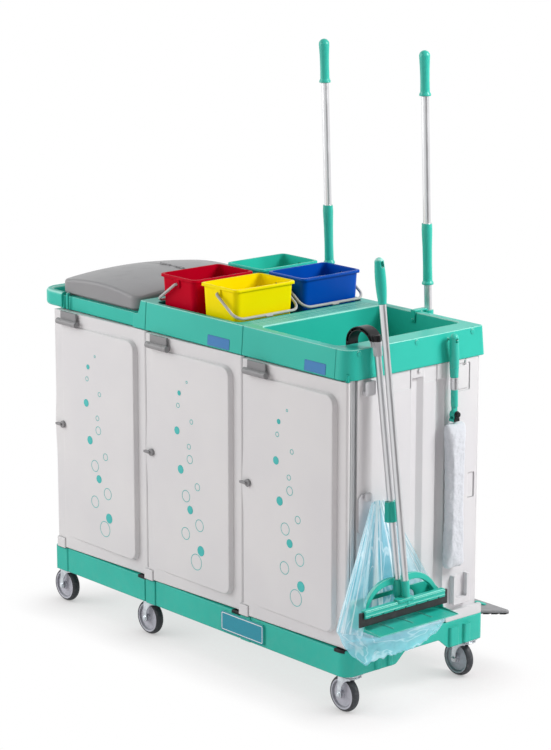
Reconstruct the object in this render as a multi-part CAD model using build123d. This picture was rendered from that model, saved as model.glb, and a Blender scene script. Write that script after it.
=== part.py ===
"""Three-bay service trolley with doors, buckets, a lidded bin bay and cleaning tools.

Millimetres. X runs from the push handle (-X) to the tool end (+X), Y from the
doors (-Y) to the back (+Y), and Z is up from the floor. Shapes are drawn about
the middle of the cabinet and moved to the middle of the whole trolley when saved.
"""

import os
from math import asin, atan, atan2, cos, degrees, radians, sin, sqrt, tan

from build123d import *

os.makedirs("parts", exist_ok=True)

# Cabinet
bay_count, bay_pitch = 3, 478.0
body_right = 730.0
body_left = body_right - bay_count * bay_pitch

# Base deck
deck_bottom, deck_top = 128.0, 211.0
deck_left, deck_right = -730.0, 741.0
deck_front, deck_back = -291.0, 294.5
deck_corners = (16.0, 36.0, 22.0, 16.0)
deck_wall, deck_plate, rib_proud = 5.0, 7.0, 9.0
deck_column_width, deck_column_proud = 48.0, 3.0
arch_height, arch_half_width, arch_shift = 34.0, 112.0, 26.0

# Top rim
rim_bottom, rim_top = 1040.0, 1131.0
rim_start, rim_end = -707.0, 733.0
rim_front, rim_back = -284.0, 291.0
rim_corners = (44.0, 44.0, 18.0, 18.0)
rim_edge = 3.5
rim_inset_at_top = 7.0
rim_wall = 5.0
seam_gap = 0.8
low_rim_top = 1085.0
low_rim_end = -250.0

# Hopper of the right bay
hopper_left, hopper_right = 298.0, 655.0
hopper_front, hopper_back = -248.0, 260.0
hopper_floor, hopper_wall, hopper_draft = 890.0, 4.0, 3.0

# Bucket tray of the middle bay
tray_middle, tray_half_length, tray_half_width, tray_floor = 7.0, 205.0, 262.0, 1046.0

# Uprights and panels
upright_size = 34.0
upright_y = 246.0
upright_inset = 21.0
upright_groove, upright_groove_depth = 8.0, 8.0
side_sheet, back_sheet = 6.0, 5.0

# Doors
door_bottom, door_top = 216.0, 1036.0
door_back_y, door_border_y, door_pad_y = -265.0, -281.0, -297.0
hinge_inset, hinge_y, hinge_barrel = 10.0, -273.0, 8.0
hinge_pin = 4.0
foot_cap_width, foot_cap_top = 44.0, 247.0
running_gap = 0.05
pad_bottom, pad_top, pad_corner, pad_slope = 258.0, 990.0, 30.0, 6.0
door_pull_height, door_pull_length = 647.0, 240.0
lock_inset, lock_barrel = 46.0, 6.5
lock_cam_y, lock_cam_thick, lock_cam_length = -247.5, 3.0, 13.0
latch_inset, latch_strap_width, latch_roll_width = 92.0, 84.0, 104.0
latch_axis_y, latch_axis_z, latch_roll, latch_pin = -308.5, 1003.0, 10.5, 2.5
latch_lug_offset, latch_lug_width = 30.0, 4.0

# Casters
caster_columns = (-698.0, -238.0, 712.0)
caster_y = 244.0
wheel_radius, wheel_width, wheel_trail = 57.0, 32.0, 28.0
axle_radius, kingpin_radius = 4.0, 5.0
fork_gap, fork_leg = 22.0, 3.0
fork_crown_bottom, fork_crown_top = 116.5, 120.0

# Push handle
handle_reach, handle_height, handle_thick = 782.0, 54.0, 24.0
handle_arm_y, handle_arm_end, handle_bend = 276.0, -668.0, 50.0
handle_z = 1068.0

# Lid over the left bay
lid_left, lid_right, lid_half_width = -698.0, -288.0, 268.0
lid_bottom, lid_crown = 1093.0, 1168.0
lid_radius_x, lid_radius_y = 1050.0, 2000.0
lid_wall, lid_seam_y, lid_edge = 4.0, 43.0, 11.0
lid_pin, lid_knuckle = 1.8, 4.0

# Buckets and bails
bucket_height, bucket_floor_z = 180.0, 1048.0
bucket_base_x, bucket_base_y = 148.0, 220.0
bucket_lip_x, bucket_lip_y = 178.0, 248.0
bucket_corner, bucket_draft, bucket_wall = 12.0, 3.3, 3.0
bucket_columns, bucket_rows = (-94.0, 108.0), (-134.5, 142.5)
bail_pivot_z, bail_reach, bail_half_span, bail_wire = 1205.0, 118.0, 130.0, 4.5
bail_bend = 32.0

# Tools at the right end
pole_radius = 10.5
dustpan_foot, dustpan_head = Vector(806, -145, 416), Vector(747, -185, 1161)
pan_back, pan_lip, pan_floor = 764.0, 894.0, 300.0
pan_middle, pan_half_width, pan_wall = -135.0, 163.0, 3.0
grip_arch_x, grip_arch_z, grip_arch_band, grip_arch_width = 694.0, 1136.0, 13.0, 38.0
grip_arch_reach, grip_arch_rise = 60.0, 53.0
squeegee_foot, squeegee_head_top = Vector(838, -143, 418), Vector(760, -191, 1404)
squeegee_grip_length = 138.0
blade_length, blade_bottom, blade_height, blade_thick = 360.0, 325.0, 44.0, 6.0
holder_length, holder_thick = 328.0, 18.0
washer_x, washer_peg_y, washer_peg_z = 754.0, 130.0, 1110.0
washer_joint_y, washer_joint_z = 136.0, 880.0
sleeve_length, sleeve_width, sleeve_thick, sleeve_top = 470.0, 90.0, 38.0, 858.0

# Mops at the back
mop_columns = (-15.0, 445.0)
mop_pole_radius, mop_grip_radius = 12.0, 17.0
mop_clip_y, mop_clip_z = 322.0, 1118.0
mop_foot_y, mop_feet, mop_top_z = 356.0, (336.0, 226.0), 1945.0
mop_back_length, mop_front_length, mop_half_width = 640.0, 470.0, 46.0
mop_plate_drop, mop_plate_thick = 42.0, 12.0

# Bin bag carried by the dustpan
bag_left, bag_right, bag_hem, bag_tip_z = -350.0, 32.0, 192.0, 668.0

# Middle of the whole trolley, where the frame's origin is
reach_left = -(handle_reach + handle_thick / 2)
reach_right = pan_lip
reach_front = bag_left
reach_back = mop_foot_y + mop_half_width
origin = Vector((reach_left + reach_right) / 2, (reach_front + reach_back) / 2, 0)


def save(name, shape):
    """Write one node, moved to the trolley's own origin."""
    moved = Pos(-origin.X, -origin.Y, 0) * shape
    export_step(moved, f"parts/{name}.step")


def block(x0, x1, y0, y1, z0, z1):
    """A box between two corners."""
    middle = Pos((x0 + x1) / 2, (y0 + y1) / 2, (z0 + z1) / 2)
    return middle * Box(x1 - x0, y1 - y0, z1 - z0)


def slab(x0, x1, y0, y1, z0, z1, radius):
    """A flat block with rounded upright edges."""
    face = Pos((x0 + x1) / 2, (y0 + y1) / 2, z0) * RectangleRounded(x1 - x0, y1 - y0, radius)
    return extrude(face, z1 - z0)


def plan(x0, x1, y0, y1, corners):
    """Level outline with a radius for each corner: front left, front right, back right, back left."""
    return make_face(FilletPolyline((x0, y0), (x1, y0), (x1, y1), (x0, y1), radius=corners, close=True))


def wall_panel(x0, x1, y0, y1, z0, z1, radius):
    """A plate facing Y with rounded corners."""
    outline = RectangleRounded(x1 - x0, z1 - z0, radius)
    face = Plane(origin=((x0 + x1) / 2, y1, (z0 + z1) / 2), x_dir=(1, 0, 0), z_dir=(0, -1, 0)) * outline
    return extrude(face, y1 - y0)


def end_plate(x0, x1, y0, y1, z0, z1, radius):
    """A plate facing X with rounded corners."""
    outline = RectangleRounded(y1 - y0, z1 - z0, radius)
    face = Plane(origin=(x0, (y0 + y1) / 2, (z0 + z1) / 2), x_dir=(0, 1, 0), z_dir=(1, 0, 0)) * outline
    return extrude(face, x1 - x0)


def rod(start, end, radius):
    """A round bar between two points."""
    span = Vector(end) - Vector(start)
    face = Plane(origin=start, z_dir=span) * Circle(radius)
    return extrude(face, span.length)


def tube(start, end, radius, wall):
    """A round tube between two points."""
    span = Vector(end) - Vector(start)
    face = Plane(origin=start, z_dir=span) * (Circle(radius) - Circle(radius - wall))
    return extrude(face, span.length)


def leaning(start, end):
    """A place at start whose Z axis runs towards end and whose X axis stays level."""
    span = Vector(end) - Vector(start)
    return Location(Plane(origin=start, x_dir=Vector(0, 1, 0).cross(span), z_dir=span))


def bay_left(bay):
    """X of the left seam of a bay, counted from 0."""
    return body_left + bay * bay_pitch


def bay_right(bay):
    """X of the right seam of a bay."""
    return bay_left(bay) + bay_pitch


def upright_columns():
    """X of the uprights: one inside the left of each bay and one at the right end."""
    return [bay_left(bay) + upright_inset for bay in range(bay_count)] + [body_right - upright_inset]


def deck_plan(inset):
    """Outline of the deck from above, drawn in by an inset."""
    return plan(deck_left + inset, deck_right - inset, deck_front + inset, deck_back - inset,
                tuple(corner - inset for corner in deck_corners))


def pivot_seat(bay, gap):
    """Space in the deck's front edge for one lower door pivot."""
    x1 = bay_right(bay) - 4 + gap
    seat = block(x1 - 40 - 2 * gap, x1, deck_front - 1, -264.5 + gap, deck_top - 8 - gap, deck_top + 1.5)
    return seat & extrude(deck_plan(0), 300)


def end_rib(y, width, z0, z1):
    """A half-round rib standing on the right end of the deck."""
    rib = RectangleRounded(2 * rib_proud, width, min(7.0, width / 2 - 1))
    return Pos(deck_right, y, z0) * extrude(rib, z1 - z0)


def base_deck():
    """Moulded deck: hollow below, arched at the ends, with columns at the bay seams."""
    height = deck_top - deck_bottom
    deck = Pos(0, 0, deck_bottom) * extrude(deck_plan(0), height)
    deck = fillet(deck.edges().group_by(Axis.Z)[-1], 3)
    for bay in range(bay_count):
        column = slab(bay_left(bay) - (14 if bay == 0 else 0), bay_left(bay) + deck_column_width,
                      deck_front - deck_column_proud, 0, deck_bottom, deck_top, 3)
        deck += column
    deck -= Pos(0, 0, deck_bottom - 1) * extrude(deck_plan(deck_wall), height + 1 - deck_plate)
    for x in caster_columns:
        for y in (-caster_y, caster_y):
            seat = Pos(x, y, deck_bottom) * extrude(Circle(39), deck_top - deck_plate - deck_bottom + 1)
            deck += seat & (Pos(0, 0, deck_bottom) * extrude(deck_plan(0), height))
    for y, width in ((-162, 24), (-113, 20), (160, 40), (216, 28)):
        deck += end_rib(y, width, deck_bottom + 4, deck_top - 18)
    with BuildPart() as arch:
        with BuildSketch(Plane.YZ.offset(deck_left - 30)):
            with BuildLine():
                feet = arch_half_width
                crown = arch_half_width - 40
                top = deck_bottom + arch_height
                FilletPolyline((arch_shift - feet - 30, deck_bottom - 1), (arch_shift - feet, deck_bottom),
                               (arch_shift - crown, top), (arch_shift + crown, top),
                               (arch_shift + feet, deck_bottom), (arch_shift + feet + 30, deck_bottom - 1), radius=22)
                Line((arch_shift + feet + 30, deck_bottom - 1), (arch_shift - feet - 30, deck_bottom - 1))
            make_face()
        extrude(amount=deck_right - deck_left + 60)
    deck -= arch.part
    for bay in range(bay_count):
        deck -= pivot_seat(bay, 0.3)
    for seam in (bay_left(1), bay_left(2)):
        deck -= block(seam - 9, seam, deck_front - 5, deck_front + 2.5, deck_bottom - 1, deck_top + 1)
        deck -= block(seam + deck_column_width, seam + deck_column_width + 3, deck_front - 5, deck_front + 2, deck_bottom - 1, deck_top + 1)
        deck -= block(seam - 1, seam + 1, deck_back - 2, deck_back + 5, deck_bottom - 1, deck_top + 1)
    plate = wall_panel(160, 368, deck_front - 5, deck_front + 3, deck_bottom + 7, deck_top - 9, 9)
    frame_line = wall_panel(165, 363, deck_front - 6.5, deck_front - 4.2, deck_bottom + 12, deck_top - 14, 6)
    inner_face = wall_panel(167, 361, deck_front - 7.5, deck_front - 3.5, deck_bottom + 14, deck_top - 16, 5)
    return deck + plate - (frame_line - inner_face)


def upright_section():
    """Square profile with a groove in each side and a core hole."""
    section = RectangleRounded(upright_size, upright_size, 4)
    reach = upright_size / 2 - upright_groove_depth / 2
    for turn in range(4):
        section -= Rot(0, 0, 90 * turn) * Pos(reach, 0) * Rectangle(upright_groove_depth, upright_groove)
    for turn in range(4):
        for side in (-1, 1):
            section -= Rot(0, 0, 90 * turn) * Pos(upright_size / 2, side * 10.5) * Rectangle(2, 2.4)
    return section - Circle(4.5)


def uprights():
    """Eight uprights: one front and back at the left of each bay and at the right end."""
    section = upright_section()
    posts = []
    for x in upright_columns():
        for y in (-upright_y, upright_y):
            posts.append(extrude(Pos(x, y, deck_top) * section, rim_bottom - deck_top))
    return Compound(posts)


def rim_blank(inset=0.0, z0=rim_bottom, z1=rim_top):
    """The whole rim's outer form: a rounded rectangle that narrows upwards."""
    lean = rim_inset_at_top / (rim_top - rim_bottom)
    low = inset + lean * (z0 - rim_bottom)
    outline = plan(rim_start + low, rim_end - low, rim_front + low, rim_back - low,
                   tuple(corner - low for corner in rim_corners))
    return extrude(Pos(0, 0, z0) * outline, z1 - z0, taper=degrees(atan(lean)))


def rim_bay(bay):
    """One bay's slice of the rim, hollow below between the uprights."""
    x0 = -900 if bay == 0 else bay_left(bay) + seam_gap / 2
    x1 = 900 if bay == bay_count - 1 else bay_right(bay) - seam_gap / 2
    blank = rim_blank()
    blank = fillet(blank.edges().group_by(Axis.Z)[-1], rim_edge)
    piece = blank & block(x0, x1, -400, 400, 0, 2000)
    for bay_seam in (bay_left(bay), bay_right(bay)):
        if body_left + 1 < bay_seam < body_right - 1:
            notch = Pos(bay_seam, 0, 0) * Box(3, 700, 3000) - rim_blank(inset=1.2)
            piece -= notch
    return piece


def hollow_below(x0, x1, y0, y1, z1):
    """Moulding pocket open to below."""
    return slab(x0, x1, y0, y1, rim_bottom - 1, z1, 3)


def pivot_bore(bay):
    """Hole in the rim for one upper door pin."""
    return Pos(bay_right(bay) - hinge_inset, hinge_y, rim_bottom - 1) * extrude(Circle(hinge_pin + running_gap), 22)


def handle_path():
    """Line of the push handle, round the left end from front to back."""
    return FilletPolyline((handle_arm_end, -handle_arm_y, handle_z), (-handle_reach, -handle_arm_y, handle_z),
                          (-handle_reach, handle_arm_y, handle_z), (handle_arm_end, handle_arm_y, handle_z),
                          radius=handle_bend)


def handle_sweep(gap):
    """The handle's rounded bar, grown all round by a gap."""
    path = handle_path()
    outline = RectangleRounded(handle_thick + 2 * gap, handle_height + 2 * gap, 11 + gap)
    face = Plane(origin=path @ 0, x_dir=(0, 1, 0), z_dir=path % 0) * outline
    return sweep(face, path)


def push_handle():
    """Bar round the left end, with moulded finger waves under its grip."""
    bar = handle_sweep(0)
    for y in range(-180, 181, 40):
        wave = Pos(-handle_reach, y, handle_z - handle_height / 2 - 14) * Rot(0, 90, 0) * Cylinder(18, 60)
        bar -= wave
    return bar


def rim_left():
    """Rim of the lidded bay: low, with a step up to the next bay."""
    rim = rim_bay(0)
    with BuildPart() as step:
        with BuildSketch(Plane.XZ.offset(-400)):
            with BuildLine():
                FilletPolyline((-900, low_rim_top), (low_rim_end - 16, low_rim_top), (low_rim_end, rim_top + 20),
                               (low_rim_end, rim_top + 40), (-900, rim_top + 40), radius=12, close=True)
            make_face()
        extrude(amount=800)
    rim -= step.part
    rim -= slab(-690, -275, -240, 240, 1000, 1200, 24)
    for y0, y1 in ((-300, -276.5), (276.5, 300)):
        rim -= slab(-632, -287, y0, y1, 1000, 1200, 11)
    for y in (-1, 1):
        rim -= slab(-661, -634, y * 285 - 8, y * 285 + 8, 1000, 1200, 4)
        rim += slab(-652, -643, y * 276 - 6, y * 276 + 6, rim_bottom, low_rim_top + 8, 2)
    for y0, y1 in ((-264, -246), (246, 264)):
        rim -= hollow_below(-600, -300, y0, y1, low_rim_top - 6)
    rim -= pivot_bore(0)
    rim -= block(-handle_reach, handle_arm_end + 0.3, handle_arm_y - 4, rim_back + 9, rim_bottom - 1, rim_top)
    return rim - handle_sweep(0.3)


def rim_middle():
    """Rim of the bucket bay: a tray with a ribbed floor and wide flat ends."""
    rim = rim_bay(1)
    x0, x1 = tray_middle - tray_half_length, tray_middle + tray_half_length
    rim -= slab(x0, x1, -tray_half_width, tray_half_width, tray_floor, 1200, 22)
    for x in (-63, 7, 77):
        rim -= slab(x - 4, x + 4, -200, 200, tray_floor - 2, tray_floor + 1, 3.9)
    for x in (227, 239):
        rim -= slab(x - 2.5, x + 2.5, -236, 236, rim_top - 1.6, rim_top + 5, 2.4)
    rim -= hollow_below(-220, -204, -225, 225, rim_top - 6)
    rim -= hollow_below(218, 246, -225, 225, rim_top - 8)
    return rim - pivot_bore(1)


def rim_right():
    """Rim of the hopper bay: deep drafted bin, wide end and bar, corner seam and bosses."""
    rim = rim_bay(2)
    middle = Pos((hopper_left + hopper_right) / 2, (hopper_front + hopper_back) / 2, rim_top)
    length, width = hopper_right - hopper_left, hopper_back - hopper_front
    opening = RectangleRounded(length, width, 26)
    outside = RectangleRounded(length + 2 * hopper_wall, width + 2 * hopper_wall, 30)
    for x0, x1 in ((259, 288), (668, 720)):
        rim -= hollow_below(x0, x1, -225, 225, rim_top - 8)
    for y0, y1 in ((-274, -259), (268, 280)):
        rim -= hollow_below(290, 685, y0, y1, rim_top - 8)
    rim += extrude(middle * outside, rim_top - hopper_floor + hopper_wall, dir=(0, 0, -1), taper=hopper_draft)
    rim -= extrude(middle * opening, rim_top - hopper_floor, dir=(0, 0, -1), taper=hopper_draft)
    rim -= extrude(middle * RectangleRounded(length + 7, width + 7, 29.5), 3.5, dir=(0, 0, -1), taper=45)
    for x in (258, 272, 286):
        rim -= slab(x - 2.5, x + 2.5, -240, 240, rim_top - 1.6, rim_top + 5, 2.4)
    for y in (-235, 0, 235):
        rim += Pos(rim_end - 8, y, rim_top - 13) * Rot(0, 90, 0) * Cylinder(8, 7)
    lean = rim_inset_at_top / (rim_top - rim_bottom)
    for y in (-1, 1):
        groove = block(673, 674.6, -400, 400, 0, 2000) - rim_blank(inset=1.4)
        rim -= groove & block(600, 700, min(0, y * 400), max(0, y * 400), 0, 2000)
    peg = rod((rim_end - 12, washer_peg_y, washer_peg_z), (washer_x + 18, washer_peg_y, washer_peg_z), 4)
    return rim + fillet(peg.edges().group_by(Axis.X)[-1], 2) - pivot_bore(2)


def end_panel():
    """Right end panel: flutes, stepped head, recess, slot, tool shelf and plinth."""
    z0, z1 = deck_top, rim_bottom - 1
    face_x, skin_x = 730.0, 726.4
    panel = end_plate(skin_x, face_x, -243, 259, z0, z1, 6)
    panel += block(714, face_x - 1, -222, 222, z0, z1)
    for y0, y1 in ((-216, -34), (38, 68), (126, 216)):
        panel -= end_plate(700, face_x - 4, y0, y1, z0 + 18, z1 - 80, 8)
    channel = Polyline((face_x + 1, -22), (face_x - 11, -14), (face_x - 11, 8), (face_x + 1, 28), close=True)
    panel -= Pos(0, 0, z0 + 60) * extrude(make_face(channel), 1010 - z0 - 60)
    flute = Pos(face_x + 9, 98, 300) * extrude(Circle(21), 690)
    panel -= flute
    panel -= end_plate(face_x - 2, face_x + 5, -107, -26, 981, 1060, 3)
    panel -= end_plate(face_x - 2, face_x + 5, 32, 84, 990, 1060, 3)
    panel -= end_plate(face_x - 2.4, face_x + 5, 166, 224, 939, 1026, 5)
    panel += end_plate(face_x - 3, face_x - 0.4, 173, 217, 946, 1019, 4)
    panel -= end_plate(face_x - 3, face_x + 5, 222, 250, 594, 674, 3)
    shelf = end_plate(face_x - 1, face_x + 18, 152, 222, 264, 358, 5)
    shelf -= end_plate(face_x + 3, face_x + 30, 166, 208, 285, 380, 4)
    plinth = end_plate(face_x - 1, face_x + 8, 128, 284, z0, 244, 6)
    for y in (8, 206):
        stud = Pos(face_x - 3, y, z1 - 9) * Rot(0, 90, 0) * extrude(Circle(7), 8)
        panel += fillet(stud.edges().group_by(Axis.X)[-1], 2.5)
    return panel + shelf + plinth


def side_panels():
    """Three equal inner walls with pressed beads: the left end and the two dividers."""
    walls = []
    for x in upright_columns()[:bay_count]:
        wall = end_plate(x - side_sheet / 2, x + side_sheet / 2, -225, 225, deck_top, rim_bottom - 2, 4)
        for z in (420, 625, 830):
            wall -= end_plate(x + side_sheet / 2 - 2, x + side_sheet, -190, 190, z - 12, z + 12, 11.5)
        walls.append(wall)
    return Compound(walls)


def back_panels():
    """Three equal back sheets, each with a raised field."""
    panels = []
    y0 = upright_y + upright_size / 2 + 0.5
    for bay in range(bay_count):
        x0, x1 = bay_left(bay) + 1.5, bay_right(bay) - 5.5
        sheet = wall_panel(x0, x1, y0, y0 + back_sheet, deck_top + 2, rim_bottom - 2, 8)
        sheet -= wall_panel(x0 + 45, x1 - 45, y0 + back_sheet - 2, y0 + 20, pad_bottom, pad_top, pad_corner)
        panels.append(sheet)
    return Compound(panels)


def door_outline(bay):
    """Front view of a door: straight sides with a shallow finger-pull bulge on the left."""
    x0, x1 = bay_left(bay) + (7 if bay == 0 else 21), bay_right(bay) - hinge_inset
    low, high = door_pull_height - door_pull_length / 2, door_pull_height + door_pull_length / 2
    with BuildSketch(Plane.XZ) as outline:
        with BuildLine():
            pull = Spline((x0, low), (x0 - 5.5, door_pull_height), (x0, high), tangents=((0, 1), (0, 1)))
            Polyline(pull @ 1, (x0, door_top), (x1, door_top), (x1, door_bottom), (x0, door_bottom), pull @ 0)
        make_face()
    return outline.sketch


def door_pad(bay):
    """Raised field with sloped walls and rounded corners."""
    x0, x1 = bay_left(bay) + 46, bay_right(bay) - 50
    middle_x, middle_z = (x0 + x1) / 2, (pad_bottom + pad_top) / 2
    width, height = x1 - x0, pad_top - pad_bottom
    front = Plane(origin=(middle_x, door_pad_y, middle_z), x_dir=(1, 0, 0), z_dir=(0, -1, 0))
    back = Plane(origin=(middle_x, door_border_y + 2, middle_z), x_dir=(1, 0, 0), z_dir=(0, -1, 0))
    small = front * RectangleRounded(width, height, pad_corner)
    large = back * RectangleRounded(width + 2 * pad_slope, height + 2 * pad_slope, pad_corner + pad_slope)
    pad = loft([large, small])
    return fillet(pad.faces().sort_by(Axis.Y)[0].edges(), 4)


def door(bay):
    """Moulded door: wedge-shaped front, raised field, hinge barrel and latch lugs."""
    left, right = bay_left(bay), bay_right(bay)
    axis_x = right - hinge_inset
    wedge = Polyline((left - 5, door_back_y), (axis_x, door_back_y), (axis_x, door_border_y),
                     (right - 40, door_border_y), (left + 64, door_pad_y + 0.5), (left - 5, door_pad_y + 0.5), close=True)
    plan = extrude(make_face(wedge), 2000)
    leaf = extrude(door_outline(bay), 400) & plan
    leaf += door_pad(bay)
    leaf += Pos(axis_x, hinge_y, door_bottom) * extrude(Circle(hinge_barrel), door_top - door_bottom)
    cell_x, cell_z = (bay_pitch - 160) / 2, (pad_top - pad_bottom - 40) / 3
    for column in range(2):
        for row in range(3):
            x0 = left + 76 + column * (cell_x + 6)
            z0 = pad_bottom + 12 + row * (cell_z + 6)
            leaf -= wall_panel(x0, x0 + cell_x, door_pad_y + 6, door_back_y + 5, z0, z0 + cell_z, 8)
    for z in (door_bottom - 1, door_top - 22):
        leaf -= Pos(axis_x, hinge_y, z) * extrude(Circle(hinge_pin + running_gap), 23)
    leaf -= block(left - 10, left + foot_cap_width + 2, door_pad_y - 20, 0, 0, foot_cap_top + 1.5)
    lock_axis = Plane(origin=(left + lock_inset, door_pad_y - 5, door_pull_height), z_dir=(0, 1, 0))
    leaf -= extrude(lock_axis * Circle(lock_barrel + running_gap), 60)
    middle = left + latch_inset
    for side in (-1, 1):
        x0 = middle + side * latch_lug_offset - latch_lug_width / 2
        lug = Plane(origin=(x0, latch_axis_y, latch_axis_z), x_dir=(0, 1, 0), z_dir=(1, 0, 0)) * Circle(5.5)
        leaf += extrude(lug, latch_lug_width)
        leaf += block(x0, x0 + latch_lug_width, latch_axis_y, door_pad_y + 3, latch_axis_z - 5.5, latch_axis_z + 5.5)
    pin_reach = latch_lug_offset + 12
    leaf += rod((middle - pin_reach, latch_axis_y, latch_axis_z), (middle + pin_reach, latch_axis_y, latch_axis_z), latch_pin)
    return leaf


def lock(bay):
    """Quarter-turn lock: knob with a lever, barrel through the door, cam behind it."""
    x, z = bay_left(bay) + lock_inset, door_pull_height
    face = Plane(origin=(x, door_pad_y - 0.5, z), z_dir=(0, -1, 0))
    body = extrude(face * Circle(12), 7)
    body = fillet(body.edges().group_by(Axis.Y)[0], 2)
    body += extrude(face * Circle(lock_barrel), -(lock_cam_y + 1 - door_pad_y))
    body += wall_panel(x - 30, x, door_pad_y - 12.5, door_pad_y - 5, z - 4, z + 4, 3.5)
    cam = wall_panel(x - 6, x + 6, lock_cam_y, lock_cam_y + lock_cam_thick, z - lock_cam_length, z + 7, 5.5)
    return body + cam


def latch(bay):
    """Flap latch: rolled grip on a pin with a strap up to the rim."""
    middle = bay_left(bay) + latch_inset
    half = latch_roll_width / 2
    roll = rod((middle - half, latch_axis_y, latch_axis_z), (middle + half, latch_axis_y, latch_axis_z), latch_roll)
    strap_half = latch_strap_width / 2
    flap = roll + block(middle - strap_half, middle + strap_half, -304.5, -299, latch_axis_z, rim_bottom - 3)
    flap += block(middle - strap_half, middle + strap_half, -305, -301, latch_axis_z - 7.5, latch_axis_z)
    reach = latch_lug_offset + 12.5
    flap -= rod((middle - reach, latch_axis_y, latch_axis_z), (middle + reach, latch_axis_y, latch_axis_z),
                latch_pin + running_gap)
    for side in (-1, 1):
        x = middle + side * latch_lug_offset
        slot = latch_lug_width / 2 + 0.6
        flap -= block(x - slot, x + slot, latch_axis_y - 7, -290, latch_axis_z - 14, latch_axis_z + 8)
    return flap


def door_pivots():
    """Lower pivot blocks with pins, the upper hinge pins and the caps at the feet of the uprights."""
    pieces = []
    for bay in range(bay_count):
        x = bay_right(bay) - hinge_inset
        lower = pivot_seat(bay, 0)
        pieces.append(lower + rod((x, hinge_y, deck_top - 4), (x, hinge_y, door_bottom + 18), hinge_pin))
        upper = rod((x, hinge_y, door_top - 18), (x, hinge_y, rim_bottom + 18), hinge_pin)
        pieces.append(upper + rod((x, hinge_y, rim_bottom - 3), (x, hinge_y, rim_bottom - 0.2), 7))
        left = bay_left(bay)
        cap = slab(left, left + foot_cap_width, door_pad_y - 3, -263.2, deck_top + 0.1, foot_cap_top, 3)
        pieces.append(fillet(cap.edges().group_by(Axis.Z)[-1], 2.5))
    return Compound(pieces)


def caster_plates():
    """Top plates with raceways, kingpins and bolt heads, one for each caster."""
    plates = []
    for x in caster_columns:
        for y in (-caster_y, caster_y):
            plate = slab(x - 28, x + 28, y - 29, y + 29, deck_bottom - 3, deck_bottom - 0.05, 8)
            plate += rod((x, y, fork_crown_top + 0.4), (x, y, deck_bottom - 2), 27)
            plate += rod((x, y, fork_crown_bottom - 2), (x, y, fork_crown_top + 1), kingpin_radius)
            plate += rod((x, y, fork_crown_bottom - 4), (x, y, fork_crown_bottom - 0.4), 9)
            plates.append(plate)
    return Compound(plates)


def fork(x, y):
    """Pressed fork with its crown disc, two tapered legs and the axle bolt."""
    crown = rod((x, y, fork_crown_bottom), (x, y, fork_crown_top), 29)
    outer = fork_gap + fork_leg
    body = crown + slab(x - 34, x + 22, y - outer, y + outer, fork_crown_bottom, fork_crown_top, 6)
    axle_x, axle_z = x - wheel_trail, wheel_radius
    for side in (-1, 1):
        y0 = y + side * fork_gap
        view = Plane(origin=(0, y0, 0), x_dir=(1, 0, 0), z_dir=(0, -1, 0))
        shoulder, foot = (x + 20, fork_crown_bottom - 3), (axle_x + 9, axle_z + 4)
        hollow = ThreePointArc(shoulder, (x - 9, fork_crown_bottom - 19), foot)
        sides = Polyline(foot, (axle_x - 9, axle_z + 4), (x - 33, fork_crown_bottom - 10), (x - 33, fork_crown_top),
                         (x + 20, fork_crown_top), shoulder)
        leg_face = make_face(Curve() + [hollow, sides]) + Pos(axle_x, axle_z) * Circle(10.5)
        body += extrude(view * leg_face, -side * fork_leg)
        head_start = y + side * outer
        body += rod((axle_x, head_start - side * 1, axle_z), (axle_x, head_start + side * 4, axle_z), 7)
    body += rod((axle_x, y - outer, axle_z), (axle_x, y + outer, axle_z), axle_radius)
    return body - rod((x, y, fork_crown_bottom - 20), (x, y, fork_crown_top + 5), kingpin_radius + running_gap)


def wheel(x, y):
    """Wheel: hub, dished disc, ring and rounded tyre, turned about its axle."""
    bore, half = axle_radius + running_gap, wheel_width / 2
    with BuildPart() as turned:
        with BuildSketch(Plane.XY):
            with BuildLine():
                disc, ring, tyre = wheel_radius - 17, wheel_radius - 14, wheel_radius - 9
                Polyline((bore, -19), (12, -19), (14, -9), (disc, -7), (ring, -13), (tyre, -13), (tyre + 1, -half + 1))
                ThreePointArc((tyre + 1, -half + 1), (wheel_radius, 0), (tyre + 1, half - 1))
                Polyline((tyre + 1, half - 1), (tyre, 13), (ring, 13), (disc, 7), (14, 9), (12, 19), (bore, 19), (bore, -19))
            make_face()
        revolve(axis=Axis.Y)
    return Pos(x - wheel_trail, y, wheel_radius) * turned.part


def lid_dome(drop, x0, x1, half_width, corner, z0, edge):
    """Crowned cap: an arch along X turned about a far axis so that it also falls along Y."""
    middle, crown = (x0 + x1) / 2, lid_crown - drop
    half = (x1 - x0) / 2 + 20
    side = crown - (lid_radius_x - sqrt(lid_radius_x ** 2 - half ** 2))
    axis_z = crown - lid_radius_y
    swing = 18.0
    with BuildPart() as dome:
        with BuildSketch(Plane.XZ):
            with BuildLine():
                ThreePointArc((middle - half, side), (middle, crown), (middle + half, side))
                Polyline((middle + half, side), (middle + half, 1000), (middle - half, 1000), (middle - half, side))
            make_face()
        revolve(axis=Axis((0, 0, axis_z), (1, 0, 0)), revolution_arc=swing)
    turned = dome.part.rotate(Axis((0, 0, axis_z), (1, 0, 0)), -swing / 2)
    cap = turned & slab(x0, x1, -half_width, half_width, z0, 1300, corner)
    crown_face = cap.faces().sort_by(Axis.Z)[-1]
    return fillet(crown_face.edges(), edge)


def lid_shell():
    """Both lid halves in one piece, open below."""
    outer = lid_dome(0, lid_left, lid_right, lid_half_width, 34, lid_bottom, lid_edge)
    inner = lid_dome(lid_wall, lid_left + lid_wall, lid_right - lid_wall, lid_half_width - lid_wall, 30,
                     lid_bottom - 5, lid_edge - lid_wall)
    return outer - inner


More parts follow.
